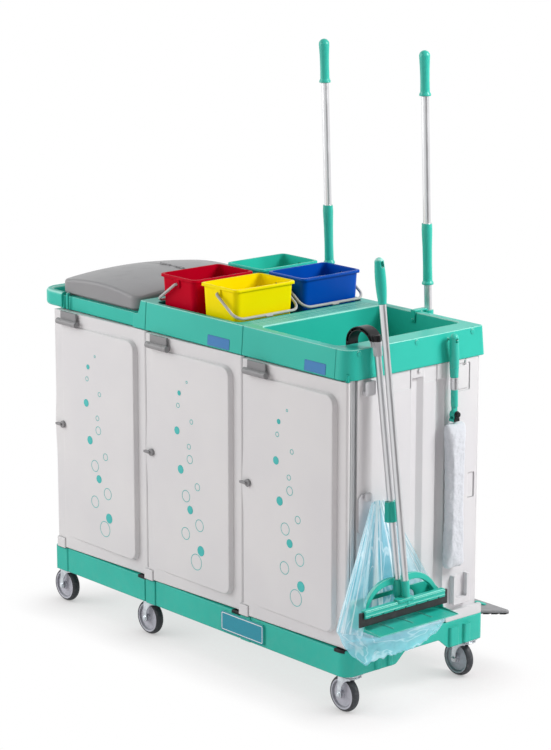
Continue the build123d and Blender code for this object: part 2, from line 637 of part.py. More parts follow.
def lid_hinge(x, start, end, moving):
    """One hinge knuckle on the lid seam."""
    z = lid_crown
    knuckle = rod((x + start, lid_seam_y, z), (x + end, lid_seam_y, z), lid_knuckle)
    side = -1 if moving else 1
    y0, y1 = sorted((lid_seam_y, lid_seam_y + side * 16))
    return knuckle + block(x + start, x + end, y0, y1, z - 9, z - 2)


def lid():
    """Front half of the lid with its hinge knuckles and a finger lip."""
    front = lid_shell() & block(-900, 0, -400, lid_seam_y - 2, 0, 2000)
    middle = (lid_left + lid_right) / 2
    for x in (middle - 36, middle + 36):
        for start, end in ((-25, -9), (9, 25)):
            front += lid_hinge(x, start, end, True)
        front -= block(x - 9, x + 9, lid_seam_y - 7, lid_seam_y + 7, lid_crown - 14, lid_crown + 10)
        front -= rod((x - 32, lid_seam_y, lid_crown), (x + 32, lid_seam_y, lid_crown), lid_pin + running_gap)
    return front


def lid_frame():
    """Fixed back half of the lid, with hinge lugs, pins and the frame under the lid."""
    back = lid_shell() & block(-900, 0, lid_seam_y + 2, 400, 0, 2000)
    middle = (lid_left + lid_right) / 2
    for x in (middle - 36, middle + 36):
        for start, end in ((-26, -8.5), (8.5, 26)):
            back -= block(x + start, x + end, lid_seam_y - 7, lid_seam_y + 7, lid_crown - 14, lid_crown + 10)
        back += lid_hinge(x, -8, 8, False)
        back += rod((x - 25, lid_seam_y, lid_crown), (x + 25, lid_seam_y, lid_crown), lid_pin)
    ring = slab(lid_left + 10, lid_right - 6, -256, 256, low_rim_top + 0.2, low_rim_top + 5, 26)
    ring -= slab(lid_left + 22, lid_right - 18, -236, 236, 1000, 1200, 20)
    wall = block(lid_left + 40, lid_right - 40, 254, 266, low_rim_top + 0.2, lid_bottom + 12)
    return back + ring + wall


def bucket(x, y):
    """Drafted bucket with a rolled lip and a lug at each short side."""
    body = extrude(RectangleRounded(bucket_base_x, bucket_base_y, bucket_corner), bucket_height, taper=-bucket_draft)
    lip = RectangleRounded(bucket_lip_x, bucket_lip_y, bucket_corner + 5)
    body += fillet(extrude(Pos(0, 0, bucket_height - 9) * lip, 9).edges().group_by(Axis.Z)[-1], 3)
    pivot = bail_pivot_z - bucket_floor_z
    for side in (-1, 1):
        y0, y1 = sorted((side * (bucket_base_y / 2 + 6), side * (bail_half_span - 6)))
        body += wall_panel(-12, 12, y0, y1, pivot - 12, bucket_height - 8, 4)
    inner = RectangleRounded(bucket_base_x - 2 * bucket_wall, bucket_base_y - 2 * bucket_wall, bucket_corner - bucket_wall)
    body -= extrude(Pos(0, 0, bucket_wall + 1) * inner, bucket_height, taper=-bucket_draft)
    body -= rod((0, -200, pivot), (0, 200, pivot), bail_wire + running_gap)
    return Pos(x, y, bucket_floor_z) * body


def bail(x, y, side):
    """Wire bail lying over to one side, with turned-in ends and a thumb tab."""
    end = bail_half_span - 12
    path = FilletPolyline((0, -end, 0), (0, -bail_half_span, 0), (bail_reach, -bail_half_span, 0),
                          (bail_reach, bail_half_span, 0), (0, bail_half_span, 0), (0, end, 0),
                          radius=(6, bail_bend, bail_bend, 6))
    face = Plane(origin=path @ 0, z_dir=path % 0) * Circle(bail_wire)
    wire = sweep(face, path)
    wire += slab(bail_reach - 3, bail_reach + 8, -14, 14, -2, 2, 2.5)
    drop = degrees(asin((bail_pivot_z - rim_top - 2.6) / (bail_reach + 8)))
    turn = Rot(0, drop, 0) if side > 0 else Rot(0, 180 - drop, 0)
    return Pos(x, y, bail_pivot_z) * turn * wire


def dome(radius, foot, top):
    """Arc of a round end whose centre lies on the turning axis."""
    rise = top - foot
    sphere = (radius ** 2 + rise ** 2) / (2 * rise)
    centre = top - sphere
    half_angle = atan2(radius, foot - centre) / 2
    middle = (sphere * sin(half_angle), centre + sphere * cos(half_angle))
    return ThreePointArc((radius, foot), middle, (0, top))


def mop_direction():
    """How far a mop pole leans back for each millimetre of height."""
    return (mop_clip_y - mop_foot_y) / (mop_clip_z - mop_feet[1])


def mop_point(x, z):
    """Point on a mop pole's axis at a height."""
    return Vector(x, mop_clip_y + mop_direction() * (z - mop_clip_z), z)


def mop_grip(x, z0, z1, domed):
    """Moulded grip on a mop pole, waisted towards its lower end."""
    length = (mop_point(x, z1) - mop_point(x, z0)).length
    with BuildPart() as grip:
        with BuildSketch(Plane.XZ):
            with BuildLine():
                bore = mop_pole_radius + 0.05
                top = mop_grip_radius - 1
                collar = mop_grip_radius + 1.5
                waist = mop_grip_radius - 2
                Polyline((bore, 0), (collar, 0), (collar, 5), (waist, 12))
                Spline((waist, 12), (mop_grip_radius - 2.5, length * 0.3), (mop_grip_radius, length - 20))
                if domed:
                    dome(mop_grip_radius, length - 20, length)
                    Polyline((0, length), (0, length - 8), (bore, length - 8), (bore, 0))
                else:
                    Polyline((mop_grip_radius, length - 20), (top, length), (bore, length), (bore, 0))
            make_face()
        revolve(axis=Axis.Z)
    return leaning(mop_point(x, z0), mop_point(x, z1)) * grip.part


def mop_pole(x, mop_foot_z):
    """Aluminium pole with two grips and a forked foot around the frame's pin."""
    mop_foot_y = mop_point(x, mop_foot_z).Y
    top = mop_point(x, mop_top_z - 9)
    pole = tube(mop_point(x, mop_foot_z + 44), top, mop_pole_radius, 1.6)
    socket = rod(mop_point(x, mop_foot_z + 22), mop_point(x, mop_foot_z + 43.9), mop_pole_radius + 4)
    for side in (-1, 1):
        cheek = Plane(origin=(x + side * 11 - 3, mop_foot_y, mop_foot_z), x_dir=(0, 1, 0), z_dir=(1, 0, 0)) * Circle(9)
        socket += extrude(cheek, 6)
        socket += block(x + side * 11 - 3, x + side * 11 + 3, mop_foot_y - 9, mop_foot_y + 9, mop_foot_z, mop_foot_z + 24)
    socket -= rod((x - 30, mop_foot_y, mop_foot_z), (x + 30, mop_foot_y, mop_foot_z), 4 + running_gap)
    upper = mop_grip(x, mop_top_z - 140, mop_top_z, True)
    lower = mop_grip(x, 1211, 1405, False)
    return Compound([pole, socket, upper, lower])


def mop_frame(x, mop_foot_z):
    """Flat mop frame: slant-ended plate, spring buttons, ribbed sole and pin lug."""
    mop_foot_y = mop_point(x, mop_foot_z).Y
    z0 = mop_foot_z - mop_plate_drop
    z1 = z0 + mop_plate_thick
    back, front, half = mop_back_length / 2, mop_front_length / 2, mop_half_width
    corners = Polyline((x - back, mop_foot_y + half), (x + back, mop_foot_y + half), (x + front, mop_foot_y - half),
                       (x - front, mop_foot_y - half), close=True)
    outline = fillet(make_face(corners).vertices(), 10)
    plate = extrude(Pos(0, 0, z0) * outline, z1 - z0)
    plate = chamfer(plate.edges().group_by(Axis.Z)[-1], 3)
    for row in (-1, 1):
        for step in (-1, 1):
            spot = Pos(x + step * (front - 36), mop_foot_y + row * 22, z1 - 1)
            plate += spot * extrude(SlotOverall(46, 15), 4)
    for rib in range(-17, 18):
        plate -= block(x + rib * 18 - 3, x + rib * 18 + 3, mop_foot_y - 80, mop_foot_y + 80, z0 - 1, z0 + 5)
    plate += slab(x - 22, x + 22, mop_foot_y - 20, mop_foot_y + 20, z1 - 1, z1 + 4, 8)
    lug = Plane(origin=(x - 7, mop_foot_y, mop_foot_z), x_dir=(0, 1, 0), z_dir=(1, 0, 0)) * Circle(9)
    plate += extrude(lug, 14)
    plate += block(x - 7, x + 7, mop_foot_y - 9, mop_foot_y + 9, z1, mop_foot_z)
    return plate + rod((x - 15, mop_foot_y, mop_foot_z), (x + 15, mop_foot_y, mop_foot_z), 4)


def pole_clips():
    """Clips hooked over the back rim, each with a snap ring round a mop pole."""
    clips = []
    for x in mop_columns:
        seat = mop_point(x, mop_clip_z)
        ring = tube(mop_point(x, mop_clip_z - 12), mop_point(x, mop_clip_z + 12), mop_pole_radius + 5, 4.6)
        mouth = Pos(seat.X, seat.Y + 14, seat.Z) * Box(2 * mop_pole_radius + 1.2, 30, 60)
        inner_y = tray_half_width - 2.6 if x < bay_right(1) else hopper_back - 2.6
        arm = block(x - 9, x + 9, inner_y - 3, seat.Y - 13, rim_top + 0.3, rim_top + 6)
        arm += block(x - 9, x + 9, seat.Y - 17, seat.Y - 13, mop_clip_z - 12, rim_top + 6)
        arm += block(x - 9, x + 9, inner_y - 3, inner_y, rim_top - 34, rim_top + 6)
        hole = Plane(origin=(x, inner_y - 2.5, rim_top - 26), z_dir=(0, -1, 0))
        screw = extrude(hole * Circle(5), 2.5)
        clips.append(ring - mouth + arm + screw)
    return Compound(clips)


def tool_hooks():
    """Moulded hooks on the right end panel: a slotted block above and a plate hook below."""
    face_x = 730.3
    upper = end_plate(face_x, face_x + 15, -224, -184, 990, 1034, 5)
    upper -= end_plate(face_x + 3.5, face_x + 10, -230, -180, 1004, 1060, 3)
    lower = end_plate(face_x, face_x + 5, -240, -180, 566, 690, 18)
    arm = end_plate(face_x + 2, face_x + 15, -222, -198, 668, 680, 4)
    tip = end_plate(face_x + 11, face_x + 15, -222, -198, 668, 694, 4)
    return Compound([upper, lower + arm + tip])


def dustpan_pole():
    """Aluminium pole of the dustpan with the clip that holds the bag."""
    return tube(dustpan_foot, dustpan_head, pole_radius, 1.4)


def along(start, end, share):
    """Point at a share of the way between two points."""
    return start + (end - start) * share


def dustpan_grip():
    """Black hooked grip: socket on the pole and a ribbed arch over the end rim."""
    y, mid_x, mid_z = dustpan_head.Y + 1, grip_arch_x, grip_arch_z
    outer, high, band = grip_arch_reach, grip_arch_rise, grip_arch_band
    front = Plane(origin=(0, y + grip_arch_width / 2, 0), x_dir=(1, 0, 0), z_dir=(0, -1, 0))
    back = Plane(origin=(0, y - grip_arch_width / 2 + 10, 0), x_dir=(1, 0, 0), z_dir=(0, -1, 0))
    half = Pos(mid_x, mid_z + 100) * Rectangle(400, 200)
    hoop = (Pos(mid_x, mid_z) * (Ellipse(outer, high) - Ellipse(outer - band, high - band))) & half
    tail = Pos(mid_x - outer + band / 2, mid_z - 12) * RectangleRounded(band, 30, 5)
    arch = extrude(front * (hoop + tail), grip_arch_width)
    web = (Pos(mid_x, mid_z) * (Ellipse(outer - 3.5, high - 3.5) - Ellipse(outer - band + 3.5, high - band + 3.5))) & half
    arch -= extrude(front * web, 10)
    arch -= extrude(back * web, 10)
    for turn in range(45, 180, 45):
        level = Vector((outer - band / 2) * cos(radians(turn)), 0, (high - band / 2) * sin(radians(turn)))
        arch += Pos(mid_x + level.X, y, mid_z + level.Z) * Rot(0, -turn, 0) * Box(band - 3, grip_arch_width - 1, 3)
    socket = rod(along(dustpan_foot, dustpan_head, 0.93), along(dustpan_foot, dustpan_head, 1.012), pole_radius + 3)
    arch += socket
    return arch - rod(dustpan_foot, along(dustpan_foot, dustpan_head, 1.0001), pole_radius + 0.02)


def dustpan_yoke():
    """Moulded yoke: socket, stem and two arches down to the pan, with the bag clip."""
    width, height, band = pan_half_width - 6, 98.0, 11.0
    with BuildPart() as frame:
        with BuildSketch(Plane.XY):
            with BuildLine():
                Line((-width, 0), (width, 0))
                ThreePointArc((width, 0), (width * 0.78, height * 0.76), (0, height))
                ThreePointArc((0, height), (-width * 0.78, height * 0.76), (-width, 0))
            make_face()
            for side in (-1, 1):
                with BuildLine():
                    near, far = side * 16, side * (width - band)
                    Line((near, -1), (far, -1))
                    ThreePointArc((far, -1), (side * width * 0.7, height * 0.66), (near, height - 18))
                    Line((near, height - 18), (near, -1))
                make_face(mode=Mode.SUBTRACT)
        extrude(amount=12, both=False)
    lean = atan((dustpan_foot.X - (pan_back + 52)) / height)
    place = Plane(origin=(pan_back + 42, pan_middle, pan_floor + 30), x_dir=(0, 1, 0), z_dir=(cos(lean), 0, -sin(lean)))
    plate = Location(place) * frame.part
    low, high = along(dustpan_foot, dustpan_head, -0.055), along(dustpan_foot, dustpan_head, 0.018)
    body = plate + rod(low, high, pole_radius + 4.5)
    body -= rod(along(dustpan_foot, dustpan_head, -0.0001), along(dustpan_foot, dustpan_head, 0.3), pole_radius + 0.02)
    clip = tube(along(dustpan_foot, dustpan_head, 0.255), along(dustpan_foot, dustpan_head, 0.34), pole_radius + 4, 3.95)
    middle = along(dustpan_foot, dustpan_head, 0.298)
    clip += slab(middle.X - 9, middle.X + 9, middle.Y - 20, middle.Y - 13, middle.Z - 31, middle.Z + 31, 2)
    return Compound([body, clip])


def dustpan_pan():
    """Scoop: flat floor to a thin lip, sloping cheeks and a raised back."""
    y0, y1 = pan_middle - pan_half_width, pan_middle + pan_half_width
    with BuildPart() as scoop:
        with BuildSketch(Plane.XZ.offset(-y1)):
            with BuildLine():
                FilletPolyline((pan_back, pan_floor), (pan_lip, pan_floor), (pan_lip - 2, pan_floor + 4),
                               (pan_back + 66, pan_floor + 9), (pan_back + 40, pan_floor + 66),
                               (pan_back, pan_floor + 82), radius=2, close=True)
            make_face()
        extrude(amount=y1 - y0)
    inside = block(pan_back + pan_wall, pan_lip + 40, y0 + pan_wall, y1 - pan_wall, pan_floor + pan_wall, pan_floor + 200)
    pan = scoop.part - inside
    for y in (pan_middle - 80, pan_middle, pan_middle + 80):
        pan += block(pan_back + pan_wall - 1, pan_lip - 30, y - 1.5, y + 1.5, pan_floor + 1, pan_floor + pan_wall + 1.5)
    pan -= extrude(Plane(origin=(pan_back - 5, pan_middle, pan_floor + 45), x_dir=(0, 1, 0), z_dir=(1, 0, 0))
                   * SlotOverall(200, 44), 20)
    return pan


def squeegee_pole():
    """Aluminium pole of the squeegee."""
    return tube(squeegee_foot, along(squeegee_foot, squeegee_head_top, 0.957), pole_radius, 1.4)


def squeegee_grip():
    """Swelling grip with a flattened, holed end."""
    length = squeegee_grip_length
    start = squeegee_head_top - (squeegee_head_top - squeegee_foot).normalized() * length
    with BuildPart() as grip:
        with BuildSketch(Plane.XZ):
            with BuildLine():
                bore = pole_radius + 0.05
                Polyline((bore, 0), (12.5, 0), (12.5, 6))
                Spline((12.5, 6), (16.5, length * 0.5), (14.0, length - 16))
                dome(14.0, length - 16, length)
                Polyline((0, length), (0, length - 40), (bore, length - 40), (bore, 0))
            make_face()
        revolve(axis=Axis.Z)
    body = grip.part - Pos(0, 0, length - 20) * Rot(0, 90, 0) * extrude(SlotOverall(18, 10), 60, both=True)
    return leaning(start, squeegee_head_top) * body


def squeegee_head():
    """Joint and notched blade holder with two long ridges."""
    x, y = squeegee_foot.X + 2, squeegee_foot.Y - 8
    z0, z1 = blade_bottom + 24, blade_bottom + blade_height + 6
    holder = block(x - holder_thick / 2, x + holder_thick / 2, y - holder_length / 2, y + holder_length / 2, z0, z1)
    holder = fillet(holder.edges().filter_by(Axis.Y), 3)
    for z in (z0 + 7, z1 - 7):
        holder += rod((x + holder_thick / 2 - 1, y - holder_length / 2, z), (x + holder_thick / 2 - 1, y + holder_length / 2, z), 2.4)
    for step in range(-3, 4):
        holder -= block(x + 2, x + 20, y + step * 46 - 3, y + step * 46 + 3, z0 - 1, z0 + 5)
    holder -= block(x - blade_thick / 2, x + blade_thick / 2, y - 300, y + 300, 0, blade_bottom + blade_height)
    low = along(squeegee_foot, squeegee_head_top, -0.06)
    high = along(squeegee_foot, squeegee_head_top, 0.014)
    neck = loft([leaning(low, high) * Circle(9), leaning(squeegee_foot, high) * Circle(13)])
    neck += rod(squeegee_foot, high, 13)
    neck -= rod(squeegee_foot, along(squeegee_foot, squeegee_head_top, 0.5), pole_radius + 0.02)
    saddle = slab(x - 13, x + 13, y - 34, y + 34, z1 - 4, z1 + 5, 8)
    return holder + neck + saddle - block(x - blade_thick / 2, x + blade_thick / 2, y - 300, y + 300, 0, blade_bottom + blade_height)


def squeegee_blade():
    """Black rubber blade gripped by the holder."""
    x, y = squeegee_foot.X + 2, squeegee_foot.Y - 8
    half = blade_thick / 2 - 0.02
    return block(x - half, x + half, y - blade_length / 2, y + blade_length / 2, blade_bottom, blade_bottom + blade_height - 0.1)


def washer_axis():
    """Ends of the washer handle's axis: swivel joint below, holed end above."""
    low = Vector(washer_x, washer_joint_y, washer_joint_z)
    peg = Vector(washer_x, washer_peg_y, washer_peg_z)
    return low, low + (peg - low) * 1.09


def washer_grip():
    """Hanging handle: holed grip, ferrule and the upper half of the swivel joint."""
    low, high = washer_axis()
    length = (high - low).length
    with BuildPart() as body:
        with BuildSketch(Plane.XZ):
            with BuildLine():
                Polyline((0, 24), (11, 24), (11, 78), (12, 78), (12, 116), (13, 116), (13, 122))
                Spline((13, 122), (15, length * 0.72), (13.5, length - 16))
                dome(13.5, length - 16, length)
                Line((0, length), (0, 24))
            make_face()
        revolve(axis=Axis.Z)
    grip = leaning(low, high) * body.part
    joint = Plane(origin=(washer_x - 4, washer_joint_y, washer_joint_z), x_dir=(0, 1, 0), z_dir=(1, 0, 0))
    grip += extrude(joint * Circle(11), 8)
    grip += leaning(low, high) * block(-4, 4, -9, 9, 2, 30)
    grip -= extrude(joint * Circle(3 + running_gap), 40, both=True)
    grip -= rod((washer_x - 60, washer_peg_y, washer_peg_z), (washer_x + 60, washer_peg_y, washer_peg_z), 6.5)
    return grip


def washer_head():
    """Lower half of the swivel joint: two cheeks, pin, knob and the bar inside the sleeve."""
    y, z = washer_joint_y, washer_joint_z
    head = None
    for side in (-1, 1):
        x0 = washer_x + side * 7.6 - 3
        cheek = Plane(origin=(x0, y, z), x_dir=(0, 1, 0), z_dir=(1, 0, 0)) * Circle(11)
        piece = extrude(cheek, 6) + block(x0, x0 + 6, y - 10, y + 10, z - 22, z)
        head = piece if head is None else head + piece
    head += block(washer_x - 10.6, washer_x + 10.6, y - 12, y + 12, z - 22, z - 13)
    head += rod((washer_x - 10, y, z), (washer_x + 14, y, z), 3)
    return head + fillet(rod((washer_x + 10.4, y, z), (washer_x + 19, y, z), 9).edges().group_by(Axis.X)[-1], 2.5)


def washer_sleeve():
    """Soft sleeve on the washer bar, rounded at both ends."""
    sleeve = Pos(washer_x, washer_joint_y + 4, sleeve_top - sleeve_length / 2) * Box(sleeve_thick, sleeve_width, sleeve_length)
    sleeve = fillet(sleeve.edges().filter_by(Axis.Z), 16)
    return fillet(sleeve.edges().group_by(Axis.Z)[0] + sleeve.edges().group_by(Axis.Z)[-1], 9)


def bag_section(x, y, depth, width, z):
    """Level cut through the bag."""
    return Pos(x, y, z) * RectangleRounded(depth, width, depth / 2 - 0.5)


def bag():
    """Thin bin bag: drawn up behind the pan to the pole's clip and hanging below the pan."""
    middle, spread = (bag_left + bag_right) / 2, bag_right - bag_left
    tail = loft([bag_section(748, middle + 12, 14, spread * 0.86, 296), bag_section(752, middle - 8, 14, spread * 0.5, 440),
                 bag_section(763, -208, 12, 22, bag_tip_z)])
    mouth = Pos(814, middle, 296) * RectangleRounded(132, spread, 40)
    hem = Pos(806, middle + 10, bag_hem) * RectangleRounded(104, spread * 0.72, 34)
    return tail + loft([hem, mouth])


save("base_deck", base_deck())
save("uprights", uprights())
save("rim_left", rim_left())
save("rim_middle", rim_middle())
save("rim_right", rim_right())
save("push_handle", push_handle())
save("end_panel", end_panel())
save("side_panels", side_panels())
save("back_panels", back_panels())
save("door_pivots", door_pivots())
save("caster_plates", caster_plates())
save("tool_hooks", tool_hooks())
save("pole_clips", pole_clips())
save("lid_frame", lid_frame())
save("lid", lid())

for bay in range(bay_count):
    save(f"door_{bay + 1}", door(bay))
    save(f"lock_{bay + 1}", lock(bay))
    save(f"latch_{bay + 1}", latch(bay))

for index, x in enumerate(caster_columns):
    for row, y in enumerate((-caster_y, caster_y)):
        number = 2 * index + row + 1
        save(f"fork_{number}", fork(x, y))
        save(f"wheel_{number}", wheel(x, y))

bucket_places = {"red": (0, 0), "yellow": (1, 0), "green": (0, 1), "blue": (1, 1)}
for colour, (column, row) in bucket_places.items():
    x, y = bucket_columns[column], bucket_rows[row]
    save(f"bucket_{colour}", bucket(x, y))
    save(f"bail_{colour}", bail(x, y, 1 if column else -1))

for index, (x, foot_z) in enumerate(zip(mop_columns, mop_feet)):
    save(f"mop_pole_{index + 1}", mop_pole(x, foot_z))
    save(f"mop_frame_{index + 1}", mop_frame(x, foot_z))

save("dustpan_pole", dustpan_pole())
save("dustpan_grip", dustpan_grip())
save("dustpan_yoke", dustpan_yoke())
save("dustpan_pan", dustpan_pan())
save("squeegee_pole", squeegee_pole())
save("squeegee_grip", squeegee_grip())
save("squeegee_head", squeegee_head())
save("squeegee_blade", squeegee_blade())
save("washer_grip", washer_grip())
save("washer_head", washer_head())
save("washer_sleeve", washer_sleeve())
save("bag", bag())
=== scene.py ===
"""Looks of a three-bay service trolley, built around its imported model.

Metres, in the model's own frame: +X from the push handle to the tool end, +Y from
the doors to the back, +Z up from the floor.
"""

from __future__ import annotations

import logging
import math
from dataclasses import dataclass, field
from enum import Enum

import bmesh
import bpy
from mathutils import Matrix, Vector, noise


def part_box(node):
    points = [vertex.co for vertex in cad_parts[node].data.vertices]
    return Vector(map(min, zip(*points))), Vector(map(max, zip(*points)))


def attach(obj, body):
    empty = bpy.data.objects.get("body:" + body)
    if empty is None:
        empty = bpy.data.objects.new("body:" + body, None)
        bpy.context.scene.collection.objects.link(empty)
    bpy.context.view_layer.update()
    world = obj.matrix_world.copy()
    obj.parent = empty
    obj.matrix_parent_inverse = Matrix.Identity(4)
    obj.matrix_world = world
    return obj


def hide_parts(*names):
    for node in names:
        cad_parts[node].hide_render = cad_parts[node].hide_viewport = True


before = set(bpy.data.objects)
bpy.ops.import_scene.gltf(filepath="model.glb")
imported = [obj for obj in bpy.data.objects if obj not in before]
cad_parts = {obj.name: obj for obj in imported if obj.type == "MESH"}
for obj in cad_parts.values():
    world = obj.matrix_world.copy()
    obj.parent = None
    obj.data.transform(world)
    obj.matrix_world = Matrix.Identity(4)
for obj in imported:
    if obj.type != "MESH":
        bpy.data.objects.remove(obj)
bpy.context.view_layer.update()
log = logging.getLogger("trolley")

RGB = tuple[float, float, float]
Socket = bpy.types.NodeSocket

# Lengths in metres; FAR lies beyond the trolley on every side.
EDGE_ROUND = 0.0045
GRAIN_DEPTH = 0.0006
STREAK_DEPTH = 0.0003
STREAK_SHOWN = 0.02
ROUND_STEPS = 5
FAR = 9.0


def linear(red: int, green: int, blue: int) -> RGB:
    """Turns a screen colour into a linear one.

    Args:
        red: Red from 0 to 255.
        green: Green from 0 to 255.
        blue: Blue from 0 to 255.

    Returns:
        The three linear channels.
    """
    def channel(value: int) -> float:
        """One channel on the linear scale."""
        share = value / 255
        return share / 12.92 if share <= 0.04045 else ((share + 0.055) / 1.055) ** 2.4

    return channel(red), channel(green), channel(blue)


TEAL_LIT = linear(46, 189, 170)
TEAL_SHADE = linear(41, 182, 164)
# Pale teal of the painted highlight on the mouldings' upward edges.
TEAL_HIGHLIGHT = linear(176, 234, 222)
DOOR_LIT = linear(222, 222, 222)
DOOR_SHADE = linear(218, 218, 219)
METAL_LIT = linear(222, 222, 224)
METAL_SHADE = linear(208, 209, 211)
SOCKET_GREY = linear(196, 197, 200)
BLACK = linear(30, 30, 32)


class Graph:
    """A small hand for wiring one node tree."""

    def __init__(self, tree: bpy.types.NodeTree) -> None:
        """Keeps the tree and clears it."""
        self.tree = tree
        tree.nodes.clear()

    def node(self, kind: str, **settings: object) -> bpy.types.Node:
        """Adds a node.

        Args:
            kind: Blender's node type name.
            settings: Properties set on the node.

        Returns:
            The new node.
        """
        made = self.tree.nodes.new(kind)
        for name, value in settings.items():
            setattr(made, name, value)
        return made

    def join(self, source: Socket, target: Socket) -> None:
        """Links two sockets."""
        self.tree.links.new(source, target)

    def math(self, operation: str, first: object, second: object = 0.0, clamp: bool = False) -> Socket:
        """Adds a sum of two numbers or sockets.

        Args:
            operation: Blender's math operation.
            first: A number or a socket.
            second: A number or a socket.
            clamp: Whether the result stays from 0 to 1.

        Returns:
            The result's socket.
        """
        made = self.node("ShaderNodeMath", operation=operation, use_clamp=clamp)
        for index, value in enumerate((first, second)):
            if isinstance(value, Socket):
                self.join(value, made.inputs[index])
            else:
                made.inputs[index].default_value = float(value)
        return made.outputs[0]

    def ramp(self, value: Socket, low: float, high: float) -> Socket:
        """Smooth step of a value between two limits.

        Args:
            value: The socket to read.
            low: Value that gives 0.
            high: Value that gives 1.

        Returns:
            The step's socket.
        """
        made = self.node("ShaderNodeMapRange", interpolation_type="SMOOTHSTEP")
        self.join(value, made.inputs["Value"])
        made.inputs["From Min"].default_value = low
        made.inputs["From Max"].default_value = high
        return made.outputs["Result"]

    def mix(self, mask: Socket, first: object, second: object) -> Socket:
        """Mixes two colours or colour sockets by a mask.

        Args:
            mask: Share of the second colour.
            first: A colour or a socket.
            second: A colour or a socket.

        Returns:
            The mixed colour's socket.
        """
        made = self.node("ShaderNodeMix", data_type="RGBA")
        self.join(mask, made.inputs[0])
        for index, value in ((6, first), (7, second)):
            if isinstance(value, Socket):
                self.join(value, made.inputs[index])
            else:
                made.inputs[index].default_value = (*value, 1.0)
        return made.outputs[2]

    def spread(self, mask: Socket, low: float, high: float) -> Socket:
        """Carries a 0 to 1 mask to another range.

        Args:
            mask: The socket to read.
            low: Result at 0.
            high: Result at 1.

        Returns:
            The new value's socket.
        """
        return self.math("ADD", self.math("MULTIPLY", mask, high - low), low)

    def between(self, value: Socket, low: float, high: float) -> Socket:
        """Hard mask of the values between two limits.

        Args:
            value: The socket to read.
            low: Lower limit.
            high: Upper limit.

        Returns:
            A socket that is 1 between the limits and 0 elsewhere.
        """
        over, under = self.math("GREATER_THAN", value, low), self.math("LESS_THAN", value, high)
        return self.math("MULTIPLY", over, under)

    def split(self, vector: Socket) -> bpy.types.NodeOutputs:
        """Takes a vector apart.

        Args:
            vector: The socket to read.

        Returns:
            The sockets of its parts, by axis name.
        """
        made = self.node("ShaderNodeSeparateXYZ")
        self.join(vector, made.inputs[0])
        return made.outputs

    def stretched(self, vector: Socket, scale: RGB) -> Socket:
        """Scales coordinates along each axis.

        Args:
            vector: The coordinates.
            scale: The factor for each axis.

        Returns:
            The scaled coordinates' socket.
        """
        made = self.node("ShaderNodeMapping")
        made.inputs["Scale"].default_value = scale
        self.join(vector, made.inputs["Vector"])
        return made.outputs["Vector"]

    def noise(self, vector: Socket, scale: object, detail: float = 3.0) -> Socket:
        """Adds a noise texture.

        Args:
            vector: Where it is read.
            scale: Its scale, a number or a socket.
            detail: How many octaves it has.

        Returns:
            The noise's value socket.
        """
        made = self.node("ShaderNodeTexNoise")
        made.inputs["Detail"].default_value = detail
        self.join(vector, made.inputs["Vector"])
        if isinstance(scale, Socket):
            self.join(scale, made.inputs["Scale"])
        else:
            made.inputs["Scale"].default_value = scale
        return made.outputs["Fac"]


def new_group(name: str, inputs: list[tuple[str, str, float]],
              outputs: list[tuple[str, str]]) -> tuple[Graph, bpy.types.Node, bpy.types.Node]:
    """Starts a shader node group.

    Args:
        name: The group's name.
        inputs: Name, socket type and default of each input.
        outputs: Name and socket type of each output.

    Returns:
        The group's graph, its input node and its output node.
    """
    tree = bpy.data.node_groups.new(name, "ShaderNodeTree")
    graph = Graph(tree)
    for label, kind, default in inputs:
        socket = tree.interface.new_socket(name=label, in_out="INPUT", socket_type=kind)
        if kind == "NodeSocketFloat":
            socket.default_value = default
    for label, kind in outputs:
        tree.interface.new_socket(name=label, in_out="OUTPUT", socket_type=kind)
    return graph, graph.node("NodeGroupInput"), graph.node("NodeGroupOutput")


def new_material(name: str) -> tuple[bpy.types.Material, Graph]:
    """Starts a node material.

    Args:
        name: The material's name.

    Returns:
        The material and its empty graph.
    """
    material = bpy.data.materials.new(name)
    material.use_nodes = True
    return material, Graph(material.node_tree)


def moulded_grain_group() -> bpy.types.NodeTree:
    """Fine grain, slow tone drift and rubbed patches of moulded plastic.

    Returns:
        The node group.
    """
    graph, given, out = new_group(
        "moulded_grain",
        [("Vector", "NodeSocketVector", 0.0), ("Grain Scale", "NodeSocketFloat", 1400.0),
         ("Drift Scale", "NodeSocketFloat", 3.0)],
        [("Height", "NodeSocketFloat"), ("Drift", "NodeSocketFloat"), ("Rub", "NodeSocketFloat")],
    )
    where = given.outputs["Vector"]
    fine = graph.math("MULTIPLY", graph.noise(where, given.outputs["Grain Scale"], 2.0), 0.35)
    flow = graph.math("MULTIPLY", graph.noise(where, 9.0, 2.0), 0.1)
    drift = graph.noise(where, given.outputs["Drift Scale"], 3.0)
    rub = graph.noise(where, 26.0, 6.0)
    graph.join(graph.math("ADD", fine, flow), out.inputs["Height"])
    graph.join(graph.ramp(drift, 0.35, 0.65), out.inputs["Drift"])
    graph.join(graph.ramp(rub, 0.5, 0.72), out.inputs["Rub"])
    return graph.tree


def floor_dust_group() -> bpy.types.NodeTree:
    """Dust that gathers low down and thins out with height.

    Returns:
        The node group.
    """
    graph, given, out = new_group(
        "floor_dust",
        [("Vector", "NodeSocketVector", 0.0), ("Low", "NodeSocketFloat", 0.0),
         ("High", "NodeSocketFloat", 0.3)],
        [("Dust", "NodeSocketFloat")],
    )
    above = graph.math("SUBTRACT", graph.split(given.outputs["Vector"])["Z"], given.outputs["Low"])
    span = graph.math("SUBTRACT", given.outputs["High"], given.outputs["Low"])
    low = graph.math("SUBTRACT", 1.0, graph.math("DIVIDE", above, span), clamp=True)
    grime = graph.ramp(graph.noise(given.outputs["Vector"], 34.0, 5.0), 0.38, 0.7)
    graph.join(graph.math("MULTIPLY", low, grime, clamp=True), out.inputs["Dust"])
    return graph.tree


